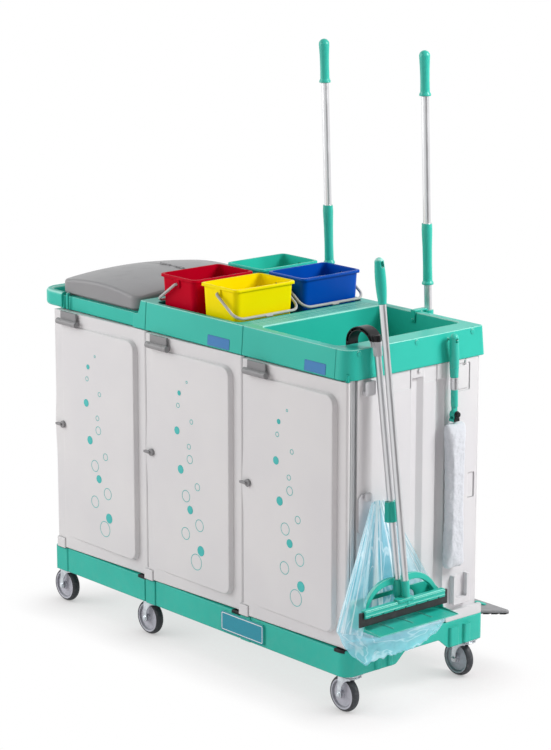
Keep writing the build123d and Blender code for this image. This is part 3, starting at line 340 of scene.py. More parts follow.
def drawn_metal_group() -> bpy.types.NodeTree:
    """Long streaks along Z, as on drawn tube and profile.

    Returns:
        The node group.
    """
    graph, given, out = new_group(
        "drawn_metal",
        [("Vector", "NodeSocketVector", 0.0), ("Streak Scale", "NodeSocketFloat", 260.0)],
        [("Streak", "NodeSocketFloat"), ("Smudge", "NodeSocketFloat")],
    )
    drawn = graph.stretched(given.outputs["Vector"], (1.0, 1.0, 0.012))
    smudge = graph.noise(given.outputs["Vector"], 14.0, 4.0)
    graph.join(graph.noise(drawn, given.outputs["Streak Scale"], 3.0), out.inputs["Streak"])
    graph.join(graph.ramp(smudge, 0.4, 0.7), out.inputs["Smudge"])
    return graph.tree


def painted_edge_highlight_group() -> bpy.types.NodeTree:
    """Painted highlight on edges and fillets that face up, where the key lamp would catch them.

    Returns:
        The node group.
    """
    graph, given, out = new_group(
        "painted_edge_highlight",
        [("Vector", "NodeSocketVector", 0.0), ("Width", "NodeSocketFloat", 0.0032)],
        [("Edge", "NodeSocketFloat")],
    )
    soft = graph.node("ShaderNodeBevel", samples=6)
    graph.join(given.outputs["Width"], soft.inputs["Radius"])
    turn = graph.node("ShaderNodeVectorMath", operation="DOT_PRODUCT")
    graph.join(soft.outputs["Normal"], turn.inputs[0])
    graph.join(graph.node("ShaderNodeNewGeometry").outputs["Normal"], turn.inputs[1])
    rise = graph.split(soft.outputs["Normal"])["Z"]
    # Painted highlight: lighter where the bevelled normal turns from the true one and on fillets that
    # face up; worn holds this highlight mask.
    bevel_highlight = graph.ramp(graph.math("SUBTRACT", 1.0, turn.outputs["Value"]), 0.02, 0.16)
    slope = graph.ramp(rise, 0.96, 0.86)
    upward = graph.ramp(rise, 0.3, 0.6)
    uneven = graph.spread(graph.noise(given.outputs["Vector"], 8.0, 3.0), 0.5, 1.1)
    worn = graph.math("MULTIPLY", graph.math("MAXIMUM", bevel_highlight, slope), upward)
    graph.join(graph.math("MULTIPLY", worn, uneven, clamp=True), out.inputs["Edge"])
    return graph.tree


class Effects:
    """The shared node groups, built once."""

    _made: dict[str, bpy.types.NodeTree] = {}
    _makers = {
        "moulded_grain": moulded_grain_group,
        "floor_dust": floor_dust_group,
        "drawn_metal": drawn_metal_group,
        "painted_edge_highlight": painted_edge_highlight_group,
    }

    @classmethod
    def place(cls, graph: Graph, name: str, vector: Socket, **values: float) -> bpy.types.Node:
        """Puts a shared effect into a material.

        Args:
            graph: The material's graph.
            name: The effect's name.
            vector: Coordinates it reads.
            values: Its own values, by input name with spaces as underscores.

        Returns:
            The group node.
        """
        if name not in cls._made:
            cls._made[name] = cls._makers[name]()
        made = graph.node("ShaderNodeGroup", node_tree=cls._made[name])
        graph.join(vector, made.inputs["Vector"])
        for label, value in values.items():
            made.inputs[label.replace("_", " ")].default_value = value
        return made


@dataclass(frozen=True)
class Finish:
    """What all finishes share: a name and a way to start a material."""

    name: str

    def start(self) -> tuple[bpy.types.Material, Graph, bpy.types.Node, Socket]:
        """Starts the finish's material with a shader.

        Returns:
            The material, its graph, its shader node and the object coordinates.
        """
        material, graph = new_material(self.name)
        shader = graph.node("ShaderNodeBsdfPrincipled")
        graph.join(shader.outputs[0], graph.node("ShaderNodeOutputMaterial").inputs["Surface"])
        where = graph.node("ShaderNodeTexCoord").outputs["Object"]
        return material, graph, shader, where

    def bump(self, graph: Graph, shader: bpy.types.Node, height: Socket, strength: float,
             depth: float) -> None:
        """Feeds a height into the shader's normal, over edges that are rounded a little.

        Args:
            graph: The material's graph.
            shader: The shader node.
            height: The height socket.
            strength: Share of the bump that shows.
            depth: Depth in metres.
        """
        soft = graph.node("ShaderNodeBevel", samples=4)
        soft.inputs["Radius"].default_value = EDGE_ROUND
        made = graph.node("ShaderNodeBump")
        graph.join(soft.outputs["Normal"], made.inputs["Normal"])
        made.inputs["Strength"].default_value = strength
        made.inputs["Distance"].default_value = depth
        graph.join(height, made.inputs["Height"])
        graph.join(made.outputs["Normal"], shader.inputs["Normal"])

    def make(self) -> bpy.types.Material:
        """Builds the material."""
        raise NotImplementedError


@dataclass(frozen=True)
class MouldedPlastic(Finish):
    """Moulded plastic with grain, slow drift of tone and rubbed patches."""

    colour: RGB = (0.5, 0.5, 0.5)
    deeper: RGB = (0.45, 0.45, 0.45)
    gloss_low: float = 0.34
    gloss_high: float = 0.46
    grain: float = 0.18
    dusty: bool = False
    sheen: float = 0.2
    # Colour of the painted edge highlight, if any.
    edge: RGB | None = None
    dust: RGB = linear(176, 174, 168)
    dust_top: float = 0.26
    dust_share: float = 0.08

    def make(self) -> bpy.types.Material:
        """Builds the material.

        Returns:
            The finished material.
        """
        material, graph, shader, where = self.start()
        grain = Effects.place(graph, "moulded_grain", where)
        rough = graph.spread(grain.outputs["Rub"], self.gloss_low, self.gloss_high)
        graph.join(self.tinted(graph, where, grain.outputs["Drift"]), shader.inputs["Base Color"])
        graph.join(rough, shader.inputs["Roughness"])
        shader.inputs["Specular IOR Level"].default_value = self.sheen
        self.bump(graph, shader, grain.outputs["Height"], self.grain, GRAIN_DEPTH)
        return material

    def tinted(self, graph: Graph, where: Socket, drift: Socket) -> Socket:
        """The drifting colour, with dust and a painted edge highlight where the finish has them.

        Args:
            graph: The material's graph.
            where: The object coordinates.
            drift: Mask of the slow drift of tone.

        Returns:
            The colour's socket.
        """
        colour = graph.mix(drift, self.colour, self.deeper)
        if self.dusty:
            low = Effects.place(graph, "floor_dust", where, Low=0.0, High=self.dust_top)
            thin = graph.math("MULTIPLY", low.outputs["Dust"], self.dust_share)
            colour = graph.mix(thin, colour, self.dust)
        # Painted highlight on edges that face up.
        if self.edge:
            rubbed = Effects.place(graph, "painted_edge_highlight", where)
            colour = graph.mix(rubbed.outputs["Edge"], colour, self.edge)
        return colour


@dataclass(frozen=True)
class Zone:
    """Part of a node in another colour, told apart by its limits along X and Z."""

    tint: RGB
    left: float = -FAR
    right: float = FAR
    low: float = -FAR
    high: float = FAR


@dataclass(frozen=True)
class ZonedPlastic(MouldedPlastic):
    """Moulded plastic of a node that also holds pieces of other plastics."""

    zones: tuple[Zone, ...] = ()
    worn_share: float = 0.86

    def tinted(self, graph: Graph, where: Socket, drift: Socket) -> Socket:
        """The drifting colour, and each zone's own colour inside its limits.

        Args:
            graph: The material's graph.
            where: The object coordinates.
            drift: Mask of the slow drift of tone.

        Returns:
            The colour's socket.
        """
        colour = super().tinted(graph, where, drift)
        parts = graph.split(where)
        for zone in self.zones:
            along = graph.between(parts["X"], zone.left, zone.right)
            mask = graph.math("MULTIPLY", along, graph.between(parts["Z"], zone.low, zone.high))
            worn = graph.mix(drift, zone.tint, tuple(self.worn_share * value for value in zone.tint))
            colour = graph.mix(mask, colour, worn)
        return colour


@dataclass(frozen=True)
class DrawnAluminium(Finish):
    """Satin aluminium with long draw marks."""

    colour: RGB = (0.72, 0.73, 0.74)
    deeper: RGB = (0.58, 0.59, 0.6)
    gloss_low: float = 0.26
    gloss_high: float = 0.42

    def make(self) -> bpy.types.Material:
        """Builds the material.

        Returns:
            The finished material.
        """
        material, graph, shader, where = self.start()
        metal = Effects.place(graph, "drawn_metal", where)
        bare = graph.mix(metal.outputs["Streak"], self.colour, self.deeper)
        rough = graph.spread(metal.outputs["Smudge"], self.gloss_low, self.gloss_high)
        graph.join(bare, shader.inputs["Base Color"])
        graph.join(rough, shader.inputs["Roughness"])
        shader.inputs["Metallic"].default_value = 1.0
        self.bump(graph, shader, metal.outputs["Streak"], STREAK_SHOWN, STREAK_DEPTH)
        return material


@dataclass(frozen=True)
class GrippedPole(DrawnAluminium):
    """Aluminium pole whose moulded grips and foot are told apart by height."""

    grip: RGB = (0.07, 0.47, 0.37)
    grip_deep: RGB = (0.05, 0.4, 0.31)
    bands: tuple[tuple[float, float], ...] = ()

    def make(self) -> bpy.types.Material:
        """Builds the material.

        Returns:
            The finished material.
        """
        material, graph, shader, where = self.start()
        height = graph.split(where)["Z"]
        mask = graph.between(height, *self.bands[0])
        for low, high in self.bands[1:]:
            mask = graph.math("MAXIMUM", mask, graph.between(height, low, high))
        metal = Effects.place(graph, "drawn_metal", where)
        grain = Effects.place(graph, "moulded_grain", where)
        plastic = graph.mix(grain.outputs["Drift"], self.grip, self.grip_deep)
        bare = graph.mix(metal.outputs["Streak"], self.colour, self.deeper)
        rough = graph.spread(metal.outputs["Smudge"], self.gloss_low, self.gloss_high)
        graph.join(graph.mix(mask, bare, plastic), shader.inputs["Base Color"])
        graph.join(graph.math("SUBTRACT", 1.0, mask), shader.inputs["Metallic"])
        graph.join(rough, shader.inputs["Roughness"])
        self.bump(graph, shader, metal.outputs["Streak"], STREAK_SHOWN, STREAK_DEPTH)
        return material


@dataclass(frozen=True)
class ZincSteel(Finish):
    """Zinc-plated pressed steel with cloudy plating and dust low down."""

    colour: RGB = (0.66, 0.7, 0.74)
    deeper: RGB = (0.48, 0.51, 0.55)
    cloud_scale: float = 60.0
    cloud_shown: float = 0.1
    cloud_depth: float = 0.0004
    gloss_low: float = 0.24
    gloss_high: float = 0.44
    dust: RGB = linear(150, 146, 138)
    dust_foot: float = 0.02
    dust_top: float = 0.14
    dust_share: float = 0.4

    def make(self) -> bpy.types.Material:
        """Builds the material.

        Returns:
            The finished material.
        """
        material, graph, shader, where = self.start()
        cloud = graph.ramp(graph.noise(where, self.cloud_scale, 5.0), 0.35, 0.7)
        low = Effects.place(graph, "floor_dust", where, Low=self.dust_foot, High=self.dust_top)
        thin = graph.math("MULTIPLY", low.outputs["Dust"], self.dust_share)
        plated = graph.mix(cloud, self.colour, self.deeper)
        graph.join(graph.mix(thin, plated, self.dust), shader.inputs["Base Color"])
        graph.join(graph.spread(cloud, self.gloss_low, self.gloss_high), shader.inputs["Roughness"])
        shader.inputs["Metallic"].default_value = 1.0
        self.bump(graph, shader, cloud, self.cloud_shown, self.cloud_depth)
        return material


@dataclass(frozen=True)
class RolledWheel(Finish):
    """Wheel with a pale hub disc, a darker ring of painted shade on its slope and a dark tyre, told apart
    by radius.
    """

    centre: tuple[float, float, float] = (0.0, 0.0, 0.05)
    hub: RGB = linear(192, 193, 203)
    hub_worn: RGB = linear(178, 179, 188)
    # Colour of the ring: painted shade on the hub's sloped ring.
    ring: RGB = linear(140, 142, 150)
    tyre: RGB = linear(52, 55, 60)
    tyre_worn: RGB = linear(84, 85, 88)
    ring_start: tuple[float, float] = (0.0385, 0.0397)
    ring_end: tuple[float, float] = (0.0432, 0.0424)
    tyre_start: tuple[float, float] = (0.0478, 0.0484)
    hub_rough: float = 0.38
    tyre_rough: float = 0.62
    wear_scale: float = 90.0
    wear_shown: float = 0.15
    wear_depth: float = 0.0006

    def make(self) -> bpy.types.Material:
        """Builds the material.

        Returns:
            The finished material.
        """
        material, graph, shader, where = self.start()
        mapping = graph.node("ShaderNodeMapping", vector_type="POINT")
        mapping.inputs["Location"].default_value = tuple(-value for value in self.centre)
        graph.join(where, mapping.inputs["Vector"])
        parts = graph.split(mapping.outputs["Vector"])
        across, up = graph.math("POWER", parts["X"], 2.0), graph.math("POWER", parts["Z"], 2.0)
        radius = graph.math("SQRT", graph.math("ADD", across, up))
        wear = graph.noise(where, self.wear_scale, 5.0)
        hub = graph.mix(graph.ramp(wear, 0.4, 0.75), self.hub, self.hub_worn)
        # Painted shade: the hub's ring is darkened between these radii.
        past, before = graph.ramp(radius, *self.ring_start), graph.ramp(radius, *self.ring_end)
        ring_shaded = graph.mix(graph.math("MULTIPLY", past, before), hub, self.ring)
        tyre = graph.mix(graph.ramp(wear, 0.45, 0.8), self.tyre, self.tyre_worn)
        on_tyre = graph.ramp(radius, *self.tyre_start)
        graph.join(graph.mix(on_tyre, ring_shaded, tyre), shader.inputs["Base Color"])
        graph.join(graph.spread(on_tyre, self.hub_rough, self.tyre_rough), shader.inputs["Roughness"])
        self.bump(graph, shader, wear, self.wear_shown, self.wear_depth)
        return material


@dataclass(frozen=True)
class DarkRubber(Finish):
    """Black rubber with fine pitting and a pale bloom."""

    colour: RGB = BLACK
    bloom: RGB = linear(58, 58, 60)
    bloom_scale: float = 40.0
    gloss_low: float = 0.45
    gloss_high: float = 0.65
    pit_scale: float = 1500.0
    pit_shown: float = 0.2
    pit_depth: float = 0.0004

    def make(self) -> bpy.types.Material:
        """Builds the material.

        Returns:
            The finished material.
        """
        material, graph, shader, where = self.start()
        cloud = graph.ramp(graph.noise(where, self.bloom_scale, 6.0), 0.45, 0.8)
        graph.join(graph.mix(cloud, self.colour, self.bloom), shader.inputs["Base Color"])
        graph.join(graph.spread(cloud, self.gloss_low, self.gloss_high), shader.inputs["Roughness"])
        self.bump(graph, shader, graph.noise(where, self.pit_scale, 2.0), self.pit_shown, self.pit_depth)
        return material


@dataclass(frozen=True)
class BagFilm(Finish):
    """Thin tinted film, paler with a painted highlight and denser along the creases that run down it,
    with painted shade on its inner layers and a painted glow.
    """

    colour: RGB = linear(150, 216, 234)
    # Deeper cyan of the inner layers: partly the doubled film, partly painted shade.
    inner_doubled_and_shaded: RGB = linear(92, 184, 208)
    # Near-white of the painted highlight on the creases.
    crease: RGB = linear(246, 252, 254)
    # Painted glow: emission that stands in for light passing through the film.
    painted_glow: float = 0.26
    inside_start: tuple[float, float] = (0.24, 0.3)
    inside_end: tuple[float, float] = (0.84, 0.7)
    streaks: RGB = (13.0, 0.35, 1.0)
    crumples: RGB = (8.0, 2.6, 1.0)
    dense_plain: float = 0.42
    dense_inside: float = 0.62
    dense_crease: float = 0.3
    gloss_flat: float = 0.26
    gloss_ridge: float = 0.12
    sheen: float = 0.6
    crease_shown: float = 0.35
    crease_depth: float = 0.004

    def make(self) -> bpy.types.Material:
        """Builds the material; the film's own coordinates run across it and down it.

        Returns:
            The finished material.
        """
        material, graph, shader, _ = self.start()
        laid = graph.node("ShaderNodeUVMap", uv_map="film").outputs["UV"]
        film = graph.split(laid)
        tail = graph.math("LESS_THAN", film["Y"], 1.0)
        inside = graph.math("MULTIPLY", tail, graph.ramp(film["X"], *self.inside_start))
        inside = graph.math("MULTIPLY", inside, graph.ramp(film["X"], *self.inside_end))
        streak = self._ridge(graph, laid, self.streaks)
        crumple = self._ridge(graph, laid, self.crumples)
        drawn = graph.math("MULTIPLY", graph.ramp(streak, 0.86, 1.0), graph.math("MULTIPLY", tail, 0.8))
        crushed = graph.math("MULTIPLY", graph.ramp(crumple, 0.93, 1.0), 0.4)
        # Creases: paler with a painted highlight and denser as doubled film.
        creases_and_highlight = graph.math("MAXIMUM", drawn, crushed)
        # Inner layers: deeper in tint, from doubled film and painted shade.
        tint = graph.mix(inside, self.colour, self.inner_doubled_and_shaded)
        colour = graph.mix(creases_and_highlight, tint, self.crease)
        graph.join(colour, shader.inputs["Base Color"])
        # Painted glow in the film's own colour, creases included.
        graph.join(colour, shader.inputs["Emission Color"])
        shader.inputs["Emission Strength"].default_value = self.painted_glow
        dense = graph.spread(inside, self.dense_plain, self.dense_inside)
        doubled = graph.math("MULTIPLY", creases_and_highlight, self.dense_crease)
        graph.join(graph.math("ADD", dense, doubled), shader.inputs["Alpha"])
        graph.join(graph.spread(crumple, self.gloss_flat, self.gloss_ridge), shader.inputs["Roughness"])
        shader.inputs["Specular IOR Level"].default_value = self.sheen
        height = graph.math("ADD", streak, crumple)
        self.bump(graph, shader, height, self.crease_shown, self.crease_depth)
        return material

    def _ridge(self, graph: Graph, laid: Socket, stretch: RGB) -> Socket:
        """Thin wandering lines, stretched along or across the film.

        Args:
            graph: The material's graph.
            laid: The film's own coordinates.
            stretch: How many lines lie across and down the film.

        Returns:
            A value that is 1 on a line.
        """
        value = graph.math("MULTIPLY", graph.noise(graph.stretched(laid, stretch), 1.0, 2.0), 2.0)
        return graph.math("SUBTRACT", 1.0, graph.math("ABSOLUTE", graph.math("SUBTRACT", value, 1.0)))


@dataclass(frozen=True)
class PileFabric(Finish):
    """Short looped pile of a washing sleeve."""

    colour: RGB = linear(212, 216, 222)
    shade: RGB = linear(203, 208, 214)
    loop_scale: float = 420.0
    mat_scale: float = 60.0
    gloss_low: float = 0.8
    gloss_high: float = 0.95
    sheen: float = 0.4
    pile_shown: float = 0.3
    pile_depth: float = 0.002

    def make(self) -> bpy.types.Material:
        """Builds the material.

        Returns:
            The finished material.
        """
        material, graph, shader, where = self.start()
        loops = graph.node("ShaderNodeTexVoronoi", feature="F1")
        loops.inputs["Scale"].default_value = self.loop_scale
        graph.join(where, loops.inputs["Vector"])
        tuft = graph.math("SUBTRACT", 1.0, loops.outputs["Distance"], clamp=True)
        mat = graph.noise(where, self.mat_scale, 5.0)
        pile = graph.mix(graph.ramp(tuft, 0.25, 0.75), self.shade, self.colour)
        graph.join(pile, shader.inputs["Base Color"])
        graph.join(graph.spread(mat, self.gloss_low, self.gloss_high), shader.inputs["Roughness"])
        shader.inputs["Sheen Weight"].default_value = self.sheen
        height = graph.math("ADD", tuft, graph.math("MULTIPLY", mat, 1.5))
        self.bump(graph, shader, height, self.pile_shown, self.pile_depth)
        return material


class Paint(Enum):
    """The finishes of the trolley, one for each kind of surface."""

    # Teal mouldings carry a painted highlight on their upward edges.
    TEAL = MouldedPlastic("teal_moulding", TEAL_LIT, TEAL_SHADE, 0.32, 0.37, 0.1,
                          sheen=0.27, edge=TEAL_HIGHLIGHT)
    DECK = MouldedPlastic("teal_deck", TEAL_LIT, TEAL_SHADE, 0.34, 0.4, 0.1, dusty=True, sheen=0.27)
    DOOR = MouldedPlastic("door_moulding", DOOR_LIT, DOOR_SHADE, 0.34, 0.44, 0.12)
    WHITE = MouldedPlastic("panel_moulding", linear(216, 216, 217), linear(212, 212, 214), 0.3, 0.42,
                           0.12)
    GREY = MouldedPlastic("grey_moulding", linear(144, 144, 145), linear(140, 140, 142), 0.34, 0.4, 0.1,
                          sheen=0.27)
    HOOK = MouldedPlastic("hook_moulding", linear(216, 217, 220), linear(208, 209, 213), 0.32, 0.44)
    RED = MouldedPlastic("red_bucket", linear(196, 0, 36), linear(188, 0, 33), 0.36, 0.46, sheen=0.03)
    YELLOW = MouldedPlastic("yellow_bucket", linear(254, 234, 0), linear(250, 228, 0), 0.32, 0.42,
                            sheen=0.05)
    BLUE = MouldedPlastic("blue_bucket", linear(0, 82, 186), linear(0, 75, 177), 0.28, 0.38, sheen=0.1)
    GREEN = MouldedPlastic("green_bucket", linear(52, 204, 182), linear(48, 197, 175), 0.28, 0.38,
                           sheen=0.1)
    BAIL = MouldedPlastic("bail_wire", linear(190, 189, 187), linear(180, 179, 177), 0.34, 0.44)
    PROFILE = DrawnAluminium("upright_profile", linear(222, 223, 224), METAL_SHADE, 0.4, 0.5)
    TUBE = DrawnAluminium("tool_tube", METAL_LIT, METAL_SHADE, 0.3, 0.4)
    ZINC = ZincSteel("zinc_plating")
    RUBBER = DarkRubber("blade_rubber")
    FILM = BagFilm("drawn_film")
    PILE = PileFabric("sleeve_pile")
    PRINT = MouldedPlastic("door_print", linear(70, 188, 184), linear(84, 194, 190), 0.3, 0.4, 0.05)
    LABEL = MouldedPlastic("blue_label", linear(72, 134, 190), linear(66, 126, 184), 0.3, 0.4, 0.05)
    PLATE = MouldedPlastic("deck_plate", linear(50, 154, 174), linear(47, 148, 168), 0.3, 0.4, 0.05)
    INK = MouldedPlastic("white_line", linear(236, 240, 240), linear(228, 234, 234), 0.3, 0.4, 0.05)

    def material(self) -> bpy.types.Material:
        """The finish's material, built on first use."""
        found = bpy.data.materials.get(self.value.name)
        return found or self.value.make()


def dress(node: str, material: bpy.types.Material) -> None:
    """Gives a carried-over node its finish.

    Args:
        node: The node's name.
        material: The material for all its faces.
    """
    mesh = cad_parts[node].data
    mesh.materials.clear()
    mesh.materials.append(material)
    log.info("dressed %s with %s", node, material.name)


def piece_from(bm: bmesh.types.BMesh, name: str, body: str, paint: Paint,
               smooth: bool = True) -> bpy.types.Object:
    """Turns a bmesh into a finished piece that rides on a body.

    Args:
        bm: The mesh in the making, freed here.
        name: The piece's name.
        body: The body it moves with.
        paint: Its finish.
        smooth: Whether its faces are shaded smooth.

    Returns:
        The new object.
    """
    bmesh.ops.recalc_face_normals(bm, faces=bm.faces)
    mesh = bpy.data.meshes.new(name)
    bm.to_mesh(mesh)
    bm.free()
    for polygon in mesh.polygons:
        polygon.use_smooth = smooth
    mesh.materials.append(paint.material())
    made = bpy.data.objects.new(name, mesh)
    bpy.context.scene.collection.objects.link(made)
    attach(made, body)
    log.info("made %s on %s, %d faces", name, body, len(mesh.polygons))
    return made


def round_edges(bm: bmesh.types.BMesh, edges: list[bmesh.types.BMEdge], offset: float) -> None:
    """Rounds edges.

    Args:
        bm: The mesh in the making.
        edges: The edges to round.
        offset: The round's size in metres.
    """
    bmesh.ops.bevel(bm, geom=edges, offset=offset, offset_type="OFFSET", segments=ROUND_STEPS,
                    profile=0.5, affect="EDGES", clamp_overlap=True, material=-1)


def box_between(bm: bmesh.types.BMesh, low: Vector, high: Vector) -> list[bmesh.types.BMVert]:
    """Adds a box.

    Args:
        bm: The mesh in the making.
        low: Lowest corner.
        high: Highest corner.

    Returns:
        The box's vertices.
    """
    place = Matrix.Translation((low + high) / 2) @ Matrix.Diagonal((*(high - low), 1.0))
    return bmesh.ops.create_cube(bm, size=1.0, matrix=place)["verts"]


def front_face(bm: bmesh.types.BMesh) -> bmesh.types.BMFace:
    """The largest face that looks to the front."""
    return max(bm.faces, key=lambda face: -face.normal.y * face.calc_area())


def rounded_tile(bm: bmesh.types.BMesh, low: Vector, high: Vector, radius: float) -> None:
    """Adds a thin plate that faces the front, with rounded corners.

    Args:
        bm: The mesh in the making.
        low: Lowest corner.
        high: Highest corner.
        radius: Corner radius.
    """
    corners = []
    for edge in {edge for vert in box_between(bm, low, high) for edge in vert.link_edges}:
        along = edge.verts[1].co - edge.verts[0].co
        if abs(along.y) > 0.5 * along.length:
            corners.append(edge)
    round_edges(bm, corners, radius)


@dataclass
class Cabinet:
    """Base, uprights, rims, panels, handle and lid."""

    teal: tuple[str, ...] = ("rim_left", "rim_middle", "rim_right", "push_handle", "pole_clips")
    white: tuple[str, ...] = ("end_panel", "side_panels", "back_panels")
    grey: tuple[str, ...] = ("lid", "lid_frame")
    plate_left: float = 0.112
    plate_right: float = 0.316
    plate_front: float = -0.3228
    plate_low: float = 0.1365
    plate_high: float = 0.2005
    plate_depth: float = 0.0034
    plate_corner: float = 0.008
    plate_margin: float = 0.0035
    plate_line: float = 0.0028
    label_spans: tuple[tuple[float, float], ...] = ((0.0365, 0.1425), (0.4893, 0.5843))
    label_height: float = 0.034
    label_foot: float = 1.0435
    label_front: float = -0.0004
    label_back: float = 0.0006
    label_corner: float = 0.004
    label_border: float = 0.0016
    label_sink: float = -0.0001
    rim_front: float = -0.3099
    rim_lean: float = math.atan2(0.007, 0.091)
    cap_foot: float = 0.2126
    cap_top: float = 0.26

    def dress(self) -> None:
        """Gives the cabinet's nodes their finishes."""
        for node in self.teal:
            dress(node, Paint.TEAL.material())
        for node in self.white:
            dress(node, Paint.WHITE.material())
        for node in self.grey:
            dress(node, Paint.GREY.material())
        dress("base_deck", Paint.DECK.material())
        dress("uprights", Paint.PROFILE.material())
        dress("tool_hooks", Paint.HOOK.material())
        dress("door_pivots", self._pivot_finish().make())

    def _pivot_finish(self) -> ZonedPlastic:
        """Foot caps in the doors' plastic, black pivots under them and teal pins above.

        Returns:
            The finish of the pivots.
        """
        foot, pins = Zone(BLACK, high=self.cap_foot), Zone(TEAL_SHADE, low=self.cap_top)
        return ZonedPlastic("door_pivot_finish", DOOR_LIT, DOOR_SHADE, zones=(foot, pins))

    def build(self) -> None:
        """Adds the deck's plate and the blank labels on the rim."""
        self._deck_plate()
        self._labels()

    def _deck_plate(self) -> None:
        """Flat coloured face with a white outline on the deck's raised plate."""
        bm = bmesh.new()
        low = Vector((self.plate_left, self.plate_front, self.plate_low))
        high = Vector((self.plate_right, self.plate_front + self.plate_depth, self.plate_high))
        rounded_tile(bm, low, high, self.plate_corner)
        face = front_face(bm)
        bmesh.ops.inset_region(bm, faces=[face], thickness=self.plate_margin, depth=0.0)
        line = bmesh.ops.inset_region(bm, faces=[face], thickness=self.plate_line, depth=0.0)["faces"]
        for strip in line:
            strip.material_index = 1
        made = piece_from(bm, "deck_plate_face", "cabinet", Paint.PLATE, smooth=False)
        made.data.materials.append(Paint.INK.material())

    def _labels(self) -> None:
        """Blank labels on the fronts of the two higher rims, which lean back a little."""
        for number, (left, right) in enumerate(self.label_spans, 1):
            bm = bmesh.new()
            low = Vector((left, self.label_front, 0.0))
            high = Vector((right, self.label_back, self.label_height))
            rounded_tile(bm, low, high, self.label_corner)
            face = front_face(bm)
            bmesh.ops.inset_region(bm, faces=[face], thickness=self.label_border, depth=self.label_sink)
            lean = Matrix.Rotation(-self.rim_lean, 3, "X")
            bmesh.ops.rotate(bm, verts=bm.verts, cent=(0.0, 0.0, 0.0), matrix=lean)
            bmesh.ops.translate(bm, verts=bm.verts, vec=(0.0, self.rim_front, self.label_foot))
            made = piece_from(bm, f"rim_label_{number}", "cabinet", Paint.LABEL, smooth=False)


@dataclass
class Doors:
    """Three doors with their locks, latches and print."""

    count: int = 3
    pitch: float = 0.478
    first_left: float = -0.708
    pad_width: float = 0.382
    pad_front: float = -0.3230
    ink: float = 0.0003
    rings: int = 15
    stream_side: float = 0.58
    stream_lean: float = 0.2
    stream_sway: float = 0.11
    sway_pace: float = 2.4
    stream_foot: float = 0.33
    stream_rise: float = 0.58
    ring_radius: float = 0.027
    ring_taper: float = 0.72
    ring_least: float = 0.62
    ring_pace: float = 1.9
    ring_line: float = 0.0021
    ring_sides: int = 40
    disc_every: int = 3

    def build(self) -> None:
        """Prints a rising stream of rings on each door."""
        for number in range(1, self.count + 1):
            self._print(number)

    def _print(self, number: int) -> None:
        """Adds one door's print.

        Args:
            number: The door's number, from the left.
        """
        left = self.first_left + (number - 1) * self.pitch
        bm = bmesh.new()
        upright = Matrix.Rotation(math.radians(90.0), 4, "X")
        for step in range(self.rings):
            share = step / (self.rings - 1)
            sway = self.stream_sway * math.sin(self.sway_pace * step)
            across = left + self.pad_width * (self.stream_side - self.stream_lean * share + sway)
            up = self.stream_foot + self.stream_rise * share
            vary = self.ring_least + (1.0 - self.ring_least) * math.cos(self.ring_pace * step) ** 2
            radius = self.ring_radius * (1.0 - self.ring_taper * share) * vary
            place = Matrix.Translation((across, self.pad_front - self.ink, up)) @ upright
            ring = bmesh.ops.create_circle(bm, cap_ends=True, segments=self.ring_sides, radius=radius,
                                           matrix=place)
            disc = ring["verts"][0].link_faces[0]
            if step % self.disc_every != 1:
                bmesh.ops.inset_region(bm, faces=[disc], thickness=self.ring_line, depth=0.0,
                                       use_boundary=True)
                bmesh.ops.delete(bm, geom=[disc], context="FACES")
        bmesh.ops.recalc_face_normals(bm, faces=bm.faces)
        bmesh.ops.solidify(bm, geom=bm.faces[:], thickness=self.ink)
        made = piece_from(bm, f"door_{number}_print", f"door_{number}", Paint.PRINT, smooth=False)

    def dress(self) -> None:
        """Gives doors, locks and latches their finishes."""
        for number in range(1, self.count + 1):
            dress(f"door_{number}", Paint.DOOR.material())
            dress(f"lock_{number}", Paint.GREY.material())
            dress(f"latch_{number}", Paint.GREY.material())


@dataclass
class Casters:
    """Six swivel casters."""

    count: int = 6

    def dress(self) -> None:
        """Gives plates, forks and wheels their finishes."""
        dress("caster_plates", Paint.ZINC.material())
        for number in range(1, self.count + 1):
            dress(f"fork_{number}", Paint.ZINC.material())
            low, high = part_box(f"wheel_{number}")
            finish = RolledWheel(f"wheel_{number}_finish", tuple((low + high) / 2))
            dress(f"wheel_{number}", finish.make())


@dataclass
class Buckets:
    """Four buckets with their bails."""

    paints: dict[str, Paint] = field(default_factory=lambda: {
        "red": Paint.RED, "yellow": Paint.YELLOW, "green": Paint.GREEN, "blue": Paint.BLUE})

    def dress(self) -> None:
        """Gives buckets and bails their finishes."""
        for colour, paint in self.paints.items():
            dress(f"bucket_{colour}", paint.material())
            dress(f"bail_{colour}", Paint.BAIL.material())


@dataclass
class Mops:
    """Two flat mops clipped to the back."""

    grip_bands: tuple[tuple[float, float], ...] = ((1.8052, 2.0), (1.2112, 1.4048))
    foot_height: float = 0.053
    sole_height: float = 0.0052
    button_foot: float = 0.0124
    button_reach: float = 0.175

    def dress(self) -> None:
        """Gives poles and frames their finishes."""
        for number in (1, 2):
            low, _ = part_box(f"mop_pole_{number}")
            foot = (0.0, low.z + self.foot_height)
            finish = GrippedPole(f"mop_pole_{number}_finish", METAL_LIT, METAL_SHADE, 0.3, 0.4,
                                 bands=(foot, *self.grip_bands), grip=TEAL_LIT, grip_deep=TEAL_SHADE)
            dress(f"mop_pole_{number}", finish.make())
            dress(f"mop_frame_{number}", self._frame_finish(number).make())

    def _frame_finish(self, number: int) -> ZonedPlastic:
        """Grey frame with teal buttons at its ends and a dark sole.

        Args:
            number: The mop's number.

        Returns:
            The finish of that frame.
        """
        low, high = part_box(f"mop_frame_{number}")
        middle = (low.x + high.x) / 2
        foot = low.z + self.button_foot
        sole = Zone(linear(34, 34, 36), high=low.z + self.sole_height)
        left = Zone(TEAL_LIT, right=middle - self.button_reach, low=foot)
        right = Zone(TEAL_LIT, left=middle + self.button_reach, low=foot)
        return ZonedPlastic(f"mop_frame_{number}_finish", linear(150, 150, 152), linear(140, 140, 143),
                            zones=(sole, left, right))


